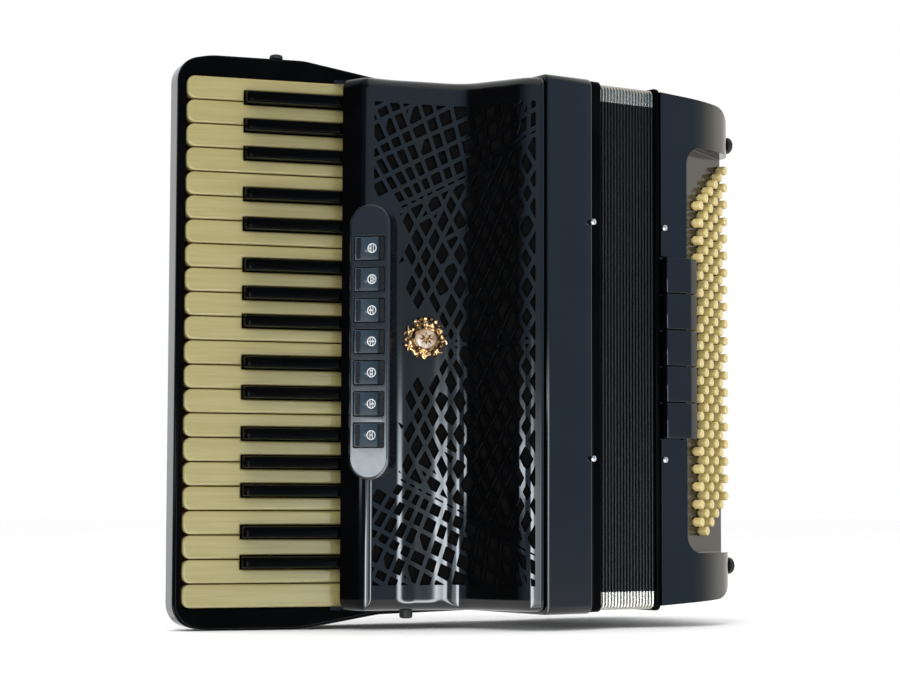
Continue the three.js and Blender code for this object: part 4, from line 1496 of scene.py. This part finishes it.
def bass_shell():
    """The bass case: an elliptical front corner, and a slanted notch for the button board."""
    corner = []
    for i in range(25):
        turn = math.pi / 2 * i / 24
        corner.append((
            NOTCH_EDGE + (BASS_END - NOTCH_EDGE) * math.sin(turn), BASS_CORNER * (1 - math.cos(turn)),
        ))
    start = BASS_START + CASE_STEP
    top_view = outline([(start, 0), *corner, (BASS_END, CASE_DEPTH, 14), (start, CASE_DEPTH)], 20)
    front_view = outline([
        (BASS_START, 1 - BASS_HALF), (BASS_END, 7 - BASS_HALF, 38), (BASS_END, BASS_HALF - 7, 38),
        (BASS_START, BASS_HALF),
    ], 14)
    shell = raw_object("bass_case_shell", Shape().prism(PLAN, top_view, -FAR, FAR))
    carve(shell, [Shape().prism(FRONT, front_view, -FAR, FAR)], "INTERSECT")
    notch = raw_object("notch", Shape().prism(FRONT, outline([
        (NOTCH_EDGE, -NOTCH_HALF, 15), (FAR, -NOTCH_HALF), (FAR, NOTCH_HALF), (NOTCH_EDGE, NOTCH_HALF, 15),
    ], 10), -FAR, FAR))
    carve(notch, [Shape().prism(BOARD, rectangle(-60, 200, -200, 200), 0, 120)], "INTERSECT")
    register_half = BASS_REGISTERS * BASS_REGISTER_LENGTH / 2 + 0.6
    right, back = BASS_END - CASE_WALL, CASE_DEPTH - CASE_WALL
    chamber = outline([
        (BASS_START - 5, 10), (88, 10), (right, 62), (right, back), (BASS_START - 5, back),
    ])
    modifier = shell.modifiers.new("notch", "BOOLEAN")
    modifier.operation = "DIFFERENCE"
    modifier.solver = "EXACT"
    modifier.object = notch
    apply_modifiers(shell)
    bpy.data.objects.remove(notch)
    carve(shell, [
        Shape().prism(PLAN, chamber, -BASS_HALF + 18, BASS_HALF - 18),
        Shape().prism(BOARD, rectangle(3.7, BOARD_LENGTH + 0.3, -BOARD_HALF - 0.3, BOARD_HALF + 0.3), -16, 1),
        Shape().prism(FRONT, rectangle(66, 98.5, -register_half, register_half), -6.5, 10),
    ])
    soften(shell, 1.1, 3)
    finish_piece(shell, LACQUER, "bass", ["bass_case"])


def button_places():
    """Every button as (along the board, height), row by row."""
    places = []
    for line in range(BUTTON_ROWS):
        # The first row has no button at its lower end.
        for column in range(1 if line == 0 else 0, BUTTON_COLUMNS):
            z = (column - (BUTTON_COLUMNS - 1) / 2) * BUTTON_COLUMN_PITCH
            z += (line - (BUTTON_ROWS - 1) / 2) * BUTTON_COLUMN_PITCH / 2
            places.append((FIRST_ROW + line * BUTTON_ROW_PITCH, z))
    return places


def button_board():
    """The plate that the buttons come through."""
    half = NOTCH_HALF - 0.8
    edge = outline([(1.2, -half, 14), (BOARD_LENGTH, -half, 1), (BOARD_LENGTH, half, 1), (1.2, half, 14)])
    plate = Shape().prism(BOARD, edge, -BOARD_THICK, 0.35, 0.3)
    board = raw_object("button_board", plate)
    drills = Shape()
    bore = BUTTON_RADIUS + BUTTON_CLEAR
    for along, z in button_places():
        drills.lathe(BOARD, along, z, [(bore, -BOARD_THICK - 2), (bore, 2)], 20)
    carve(board, [drills])
    finish_piece(board, BOARD_TAUPE, "bass", ["bass_button_board"])


def bass_buttons():
    """Round-ended barrels, one to each place, that share one mesh."""
    foot = BUTTON_PROUD - 8.2
    profile = [(2.3, -5.0), (2.3, foot)] + soft_rod(BUTTON_RADIUS, foot, BUTTON_PROUD, 1.15, 4)
    profile.append((0.3, BUTTON_PROUD + 0.02))
    shared = None
    for number, (along, z) in enumerate(button_places(), 1):
        name = f"bass_button_{number:03d}"
        if shared is None:
            first = piece(name, Shape().lathe(BOARD, along, z, profile, 20), BUTTON_CREAM, "bass_buttons",
                          ["bass_buttons"])
            shared = (first.data, along, z)
            continue
        mesh, along_0, z_0 = shared
        button = bpy.data.objects.new(name, mesh)
        button.location = (BOARD(along, z) - BOARD(along_0, z_0)) * MM
        bpy.context.scene.collection.objects.link(button)
        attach(button, "bass_buttons")
    carrier = Shape().prism(BOARD, rectangle(6, BOARD_LENGTH - 4, -BOARD_HALF + 1, BOARD_HALF - 1, 2, 4),
                            -6, -4.2, 0.3)
    piece("bass_button_carrier", carrier, SPRUCE, "bass_buttons")


def bass_register(i):
    """A tab whose slanted side towards the buttons is painted dark as shade."""
    z = register_z(i, BASS_REGISTERS, BASS_REGISTER_LENGTH)
    half = BASS_REGISTER_LENGTH / 2 - 0.4
    section = outline([(69.0, 0.8, 0.2), (69.0, -6, 0.8), (94.5, -6, 0.8), (104.5, -1.9, 0.5),
                       (103, 0.8, 0.2)], 4)
    tab = raw_object(
        f"bass_switch_{i + 1:02d}", Shape().prism(PLAN, section, z - half, z + half, 0.7, 0.7),
    )
    # Painted shade: the faces towards the buttons take the dark plastic.
    mark_faces(tab, X, 0.25, 1)
    name = f"bass_register_{i + 1:02d}"
    finish_piece(tab, [LACQUER, PAINTED_SHADE_PLASTIC], name, [name])


def bass_feet():
    """Rubber feet with a dimple, on the bass end."""
    heights = [(7.2, -1), (7.2, 2.6), (6.7, 3.6), (5.6, 4.0), (2.6, 4.0), (2.2, 3.2), (0.2, 3.1)]
    profile = [(radius, BASS_END + height) for radius, height in heights]
    number = 1
    for y in (38, 162):
        for z in (-183, 183):
            foot = Shape().lathe(SIDE, y, z, profile, 28)
            piece(f"bass_foot_{number:02d}", foot, RUBBER, "bass")
            number += 1


STRAP_NEAR, STRAP_FAR = 82.0, 146.0
STRAP_HALF = 178.0


def strap_path():
    """The middle of the hand strap in X and Z, as points along it."""
    face = BASS_END + GAP + 2.0
    bow = BASS_END + GAP + 24.0
    corners = [(face, -STRAP_HALF + 0.5), (bow, -120, 70), (bow, 120, 70), (face, STRAP_HALF - 0.5)]
    line = outline(corners, 14)
    dense = []
    for a, b in zip(line, line[1:]):
        steps = max(1, int((b - a).length / 6))
        dense += [a.lerp(b, k / steps) for k in range(steps)]
    return dense + [line[-1]]


def hand_strap():
    """A padded band with two rows of stitches, held by a bracket at each end."""
    path = strap_path()
    strap, stitches = Shape(), Shape()
    rings = []
    middle = (STRAP_NEAR + STRAP_FAR) / 2
    seam = []
    for i, here in enumerate(path):
        ahead = (path[min(i + 1, len(path) - 1)] - path[max(i - 1, 0)]).normalized()
        out = Vector((ahead.y, -ahead.x))
        swell = 0.35 * math.cos(min(1, abs(here.y) / 125) * math.pi / 2)
        half_width = (STRAP_FAR - STRAP_NEAR) / 2
        section = rectangle(-half_width, half_width, -1.6 - swell, 1.6 + swell, 1.3, 3)
        rings.append([Vector((here.x + out.x * p.y, middle + p.x, here.y + out.y * p.y)) for p in section])
        seam.append((here, out, 1.6 + swell))
    strap.rings(rings)
    for edge in (-1, 1):
        offset = edge * ((STRAP_FAR - STRAP_NEAR) / 2 - 4)
        for (a, out, lift), (b, _, _) in list(zip(seam, seam[1:]))[2:-2]:
            for way in (1, -1):
                start, end = a.lerp(b, 0.12), a.lerp(b, 0.72)
                rise = out * (lift + 0.05) * way
                stitches.tube([
                    Vector((start.x + rise.x, middle + offset, start.y + rise.y)),
                    Vector((end.x + rise.x, middle + offset, end.y + rise.y)),
                ], 0.35, 6)
    piece("hand_strap", strap, LEATHER, "bass", ["bass_strap"])
    piece("hand_strap_stitches", stitches, THREAD, "bass")
    for name, z in (("top", STRAP_HALF - 5), ("bottom", 5 - STRAP_HALF)):
        bracket = Shape()
        top = BASS_END + GAP + 4.2
        bar = rectangle(STRAP_NEAR + 3, STRAP_FAR - 3, z - 4.5, z + 4.5, 3, 5)
        bracket.prism(SIDE, bar, top - 0.4, top + 1.0, 0.5)
        screw = [(2.6, top + 0.6), (2.4, top + 1.6), (1.5, top + 2.1), (0.2, top + 2.2)]
        for y in (STRAP_NEAR + 14, middle, STRAP_FAR - 14):
            bracket.lathe(SIDE, y, z, screw, 16)
        piece(f"strap_bracket_{name}", bracket, CHROME, "bass")


# ---- carried-over nodes -------------------------------------------------------------------
def dress(node, look):
    """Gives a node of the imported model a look."""
    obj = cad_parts[node]
    obj.data.materials.clear()
    obj.data.materials.append(look)


def build():
    keyboard_shell()
    frame_knobs()
    for i in range(WHITE_COUNT):
        white_key(i)
    for i in range(BLACK_COUNT):
        black_key(i)
    grille()
    crest()
    register_pod()
    for i in range(TREBLE_REGISTERS):
        treble_register(i)
    treble_case()
    bellows_frames()
    bellows_pins()
    for i in range(FOLDS + 1):
        bellows_ridge(i)
    for i in range(FOLDS):
        bellows_fold(i)
    bass_shell()
    button_board()
    bass_buttons()
    for i in range(BASS_REGISTERS):
        bass_register(i)
    bass_feet()
    hand_strap()
    dress("key_axle", CHROME)
    dress("treble_soundboard", SPRUCE)


build()


# ---- stage --------------------------------------------------------------------------------
def stage_plane(name, corners, material):
    mesh = bpy.data.meshes.new(name)
    mesh.from_pydata([Vector(c) for c in corners], [], [list(range(len(corners)))])
    plane = bpy.data.objects.new(name, mesh)
    plane.data.materials.append(material)
    bpy.context.scene.collection.objects.link(plane)
    return plane


def floor_look():
    look = Look("floor", Specular_IOR_Level=0.1)
    look.tint(look.noise(3), (0.985, 0.985, 0.985), (1.0, 1.0, 1.0))
    look.rough(look.noise(20), 0.9, 1.0)
    return look.material


# What gloss reflects round the studio: degrees from the front towards the bass side, and a colour.
SURROUND = [
    (-180, (1.15, 1.17, 1.20)), (-152, (0.80, 0.82, 0.80)), (-122, (0.60, 0.62, 0.61)),
    (-110, (0.02, 0.02, 0.02)), (-86, (0.01, 0.012, 0.015)), (-74, (0.10, 0.14, 0.18)),
    (-60, (0.20, 0.30, 0.42)), (-30, (0.30, 0.42, 0.54)), (0, (0.36, 0.46, 0.54)),
    (14, (0.34, 0.46, 0.58)), (26, (0.330, 0.460, 0.640)), (46, (0.300, 0.420, 0.600)),
    (56, (0.50, 0.53, 0.54)), (68, (0.92, 0.92, 0.86)), (82, (1.20, 1.16, 1.06)),
    (96, (1.05, 0.98, 0.90)), (126, (1.00, 0.95, 0.90)), (152, (0.80, 0.82, 0.86)),
    (180, (1.15, 1.17, 1.20)),
]
SURROUND_SCALE = 2.0            # the ramp holds colours up to one
# Low, soft lamps in front: the share by bearing in degrees, the share by height, and the strength.
LOW_LAMPS = [
    ([(-82, 0.0), (-75, 0.9), (-66, 1.0), (-61, 0.0)],
     [(0.000, 0.0), (0.010, 1.0), (0.020, 0.75), (0.034, 0.14), (0.06, 0.0)], 14.0),
    ([(-38, 0.0), (-33, 1.0), (-27, 1.0), (-22, 0.25), (-10, 0.15), (-4, 0.0)],
     [(-0.08, 1.0), (0.0, 0.9), (0.025, 0.45), (0.05, 0.10), (0.08, 0.0)], 14.0),
    ([(2.6, 0.0), (4.6, 1.0), (6, 1.0), (10, 0.0)],
     [(-0.08, 0.9), (0.0, 1.0), (0.030, 0.5), (0.05, 0.10), (0.07, 0.0)], 13.0),
]
LOW_LAMP_COLOUR = (0.86, 0.94, 1.0)
CEILING = [(0.55, 0.0), (0.95, 1.0)]
CEILING_STRENGTH = 0.8
GROUND = [(-0.30, 1.0), (-0.06, 0.0)]
GROUND_STRENGTH = 0.9


class World:
    """The studio's light as one environment: plain white, and shaded only in reflections."""

    def __init__(self):
        self.world = bpy.data.worlds.new("studio")
        self.world.use_nodes = True
        self.tree = self.world.node_tree
        direction = self.node("ShaderNodeTexCoord").outputs["Generated"]
        parts = self.node("ShaderNodeSeparateXYZ")
        self.tree.links.new(direction, parts.inputs[0])
        self.height = parts.outputs["Z"]
        front = self.math("MULTIPLY", parts.outputs["Y"], -1.0)
        self.bearing = self.math("ARCTAN2", parts.outputs["X"], front)

    def node(self, kind):
        return self.tree.nodes.new(kind)

    def math(self, operation, first, second):
        node = self.node("ShaderNodeMath")
        node.operation = operation
        for socket, value in zip(node.inputs, (first, second)):
            if isinstance(value, float):
                socket.default_value = value
            else:
                self.tree.links.new(value, socket)
        return node.outputs[0]

    def ramp(self, value, low, high, stops, interpolation="EASE"):
        """A colour ramp over a value's range; stops are (value, colour or grey)."""
        spread = self.node("ShaderNodeMapRange")
        spread.inputs["From Min"].default_value = low
        spread.inputs["From Max"].default_value = high
        self.tree.links.new(value, spread.inputs["Value"])
        ramp = self.node("ShaderNodeValToRGB")
        elements = ramp.color_ramp.elements
        ramp.color_ramp.interpolation = interpolation
        while len(elements) < len(stops):
            elements.new(0.5)
        for element, (place, tone) in zip(elements, stops):
            element.position = (place - low) / (high - low)
            element.color = (*tone, 1) if isinstance(tone, tuple) else (tone, tone, tone, 1)
        self.tree.links.new(spread.outputs["Result"], ramp.inputs["Fac"])
        return ramp.outputs["Color"]

    def light(self, strength, colour=None, factor=None, tone=(1, 1, 1)):
        glow = self.node("ShaderNodeBackground")
        glow.inputs["Color"].default_value = (*tone, 1)
        glow.inputs["Strength"].default_value = strength
        if colour is not None:
            self.tree.links.new(colour, glow.inputs["Color"])
        if factor is not None:
            self.tree.links.new(self.math("MULTIPLY", factor, strength), glow.inputs["Strength"])
        return glow.outputs[0]

    def mix(self, factor, first, second):
        node = self.node("ShaderNodeMixShader")
        self.tree.links.new(factor, node.inputs[0])
        self.tree.links.new(first, node.inputs[1])
        self.tree.links.new(second, node.inputs[2])
        return node.outputs[0]

    def add(self, first, second):
        node = self.node("ShaderNodeAddShader")
        self.tree.links.new(first, node.inputs[0])
        self.tree.links.new(second, node.inputs[1])
        return node.outputs[0]


def make_world():
    studio = World()
    turn = math.pi
    around = [(math.radians(a), tuple(c / SURROUND_SCALE for c in colour)) for a, colour in SURROUND]
    surround = studio.light(SURROUND_SCALE, studio.ramp(studio.bearing, -turn, turn, around, "LINEAR"))
    ceiling = studio.ramp(studio.height, -1.0, 1.0, CEILING)
    gloss = studio.mix(ceiling, surround, studio.light(CEILING_STRENGTH))
    ground = studio.ramp(studio.height, -1.0, 1.0, GROUND)
    gloss = studio.mix(ground, gloss, studio.light(GROUND_STRENGTH))
    for ways, heights, strength in LOW_LAMPS:
        bearings = [(math.radians(way), grey) for way, grey in ways]
        lamp = studio.math(
            "MULTIPLY", studio.ramp(studio.bearing, -turn, turn, bearings),
            studio.ramp(studio.height, -1.0, 1.0, heights),
        )
        gloss = studio.add(gloss, studio.light(strength, factor=lamp, tone=LOW_LAMP_COLOUR))
    is_gloss = studio.node("ShaderNodeLightPath").outputs["Is Glossy Ray"]
    output = studio.tree.nodes["World Output"]
    plain = studio.tree.nodes["Background"]
    plain.inputs["Color"].default_value = (1, 1, 1, 1)
    plain.inputs["Strength"].default_value = 1.0
    studio.tree.links.new(studio.mix(is_gloss, plain.outputs[0], gloss), output.inputs["Surface"])
    bpy.context.scene.world = studio.world


def area_light(name, place, target, size, power, colour=(1, 1, 1)):
    data = bpy.data.lights.new(name, "AREA")
    data.shape = "RECTANGLE"
    data.size, data.size_y = size
    data.energy = power
    data.color = colour
    light = bpy.data.objects.new(name, data)
    light.location = place
    light.rotation_euler = (Vector(target) - Vector(place)).to_track_quat("-Z", "Y").to_euler()
    light.visible_glossy = False
    bpy.context.scene.collection.objects.link(light)
    return light


def make_stage():
    reach = 12.0
    floor = stage_plane(
        "floor", [(-reach, -reach, 0), (reach, -reach, 0), (reach, reach, 0), (-reach, reach, 0)],
        floor_look(),
    )
    floor.visible_glossy = False
    make_world()
    middle = (0.0, 0.0, 0.23)
    area_light("key_light", (-1.6, -1.5, 1.7), middle, (1.2, 1.2), 22)
    area_light("top_light", (0.1, 0.2, 2.0), middle, (1.6, 1.2), 14)
    scene = bpy.context.scene
    scene.view_settings.view_transform = "Standard"
    scene.view_settings.look = "None"


make_stage()
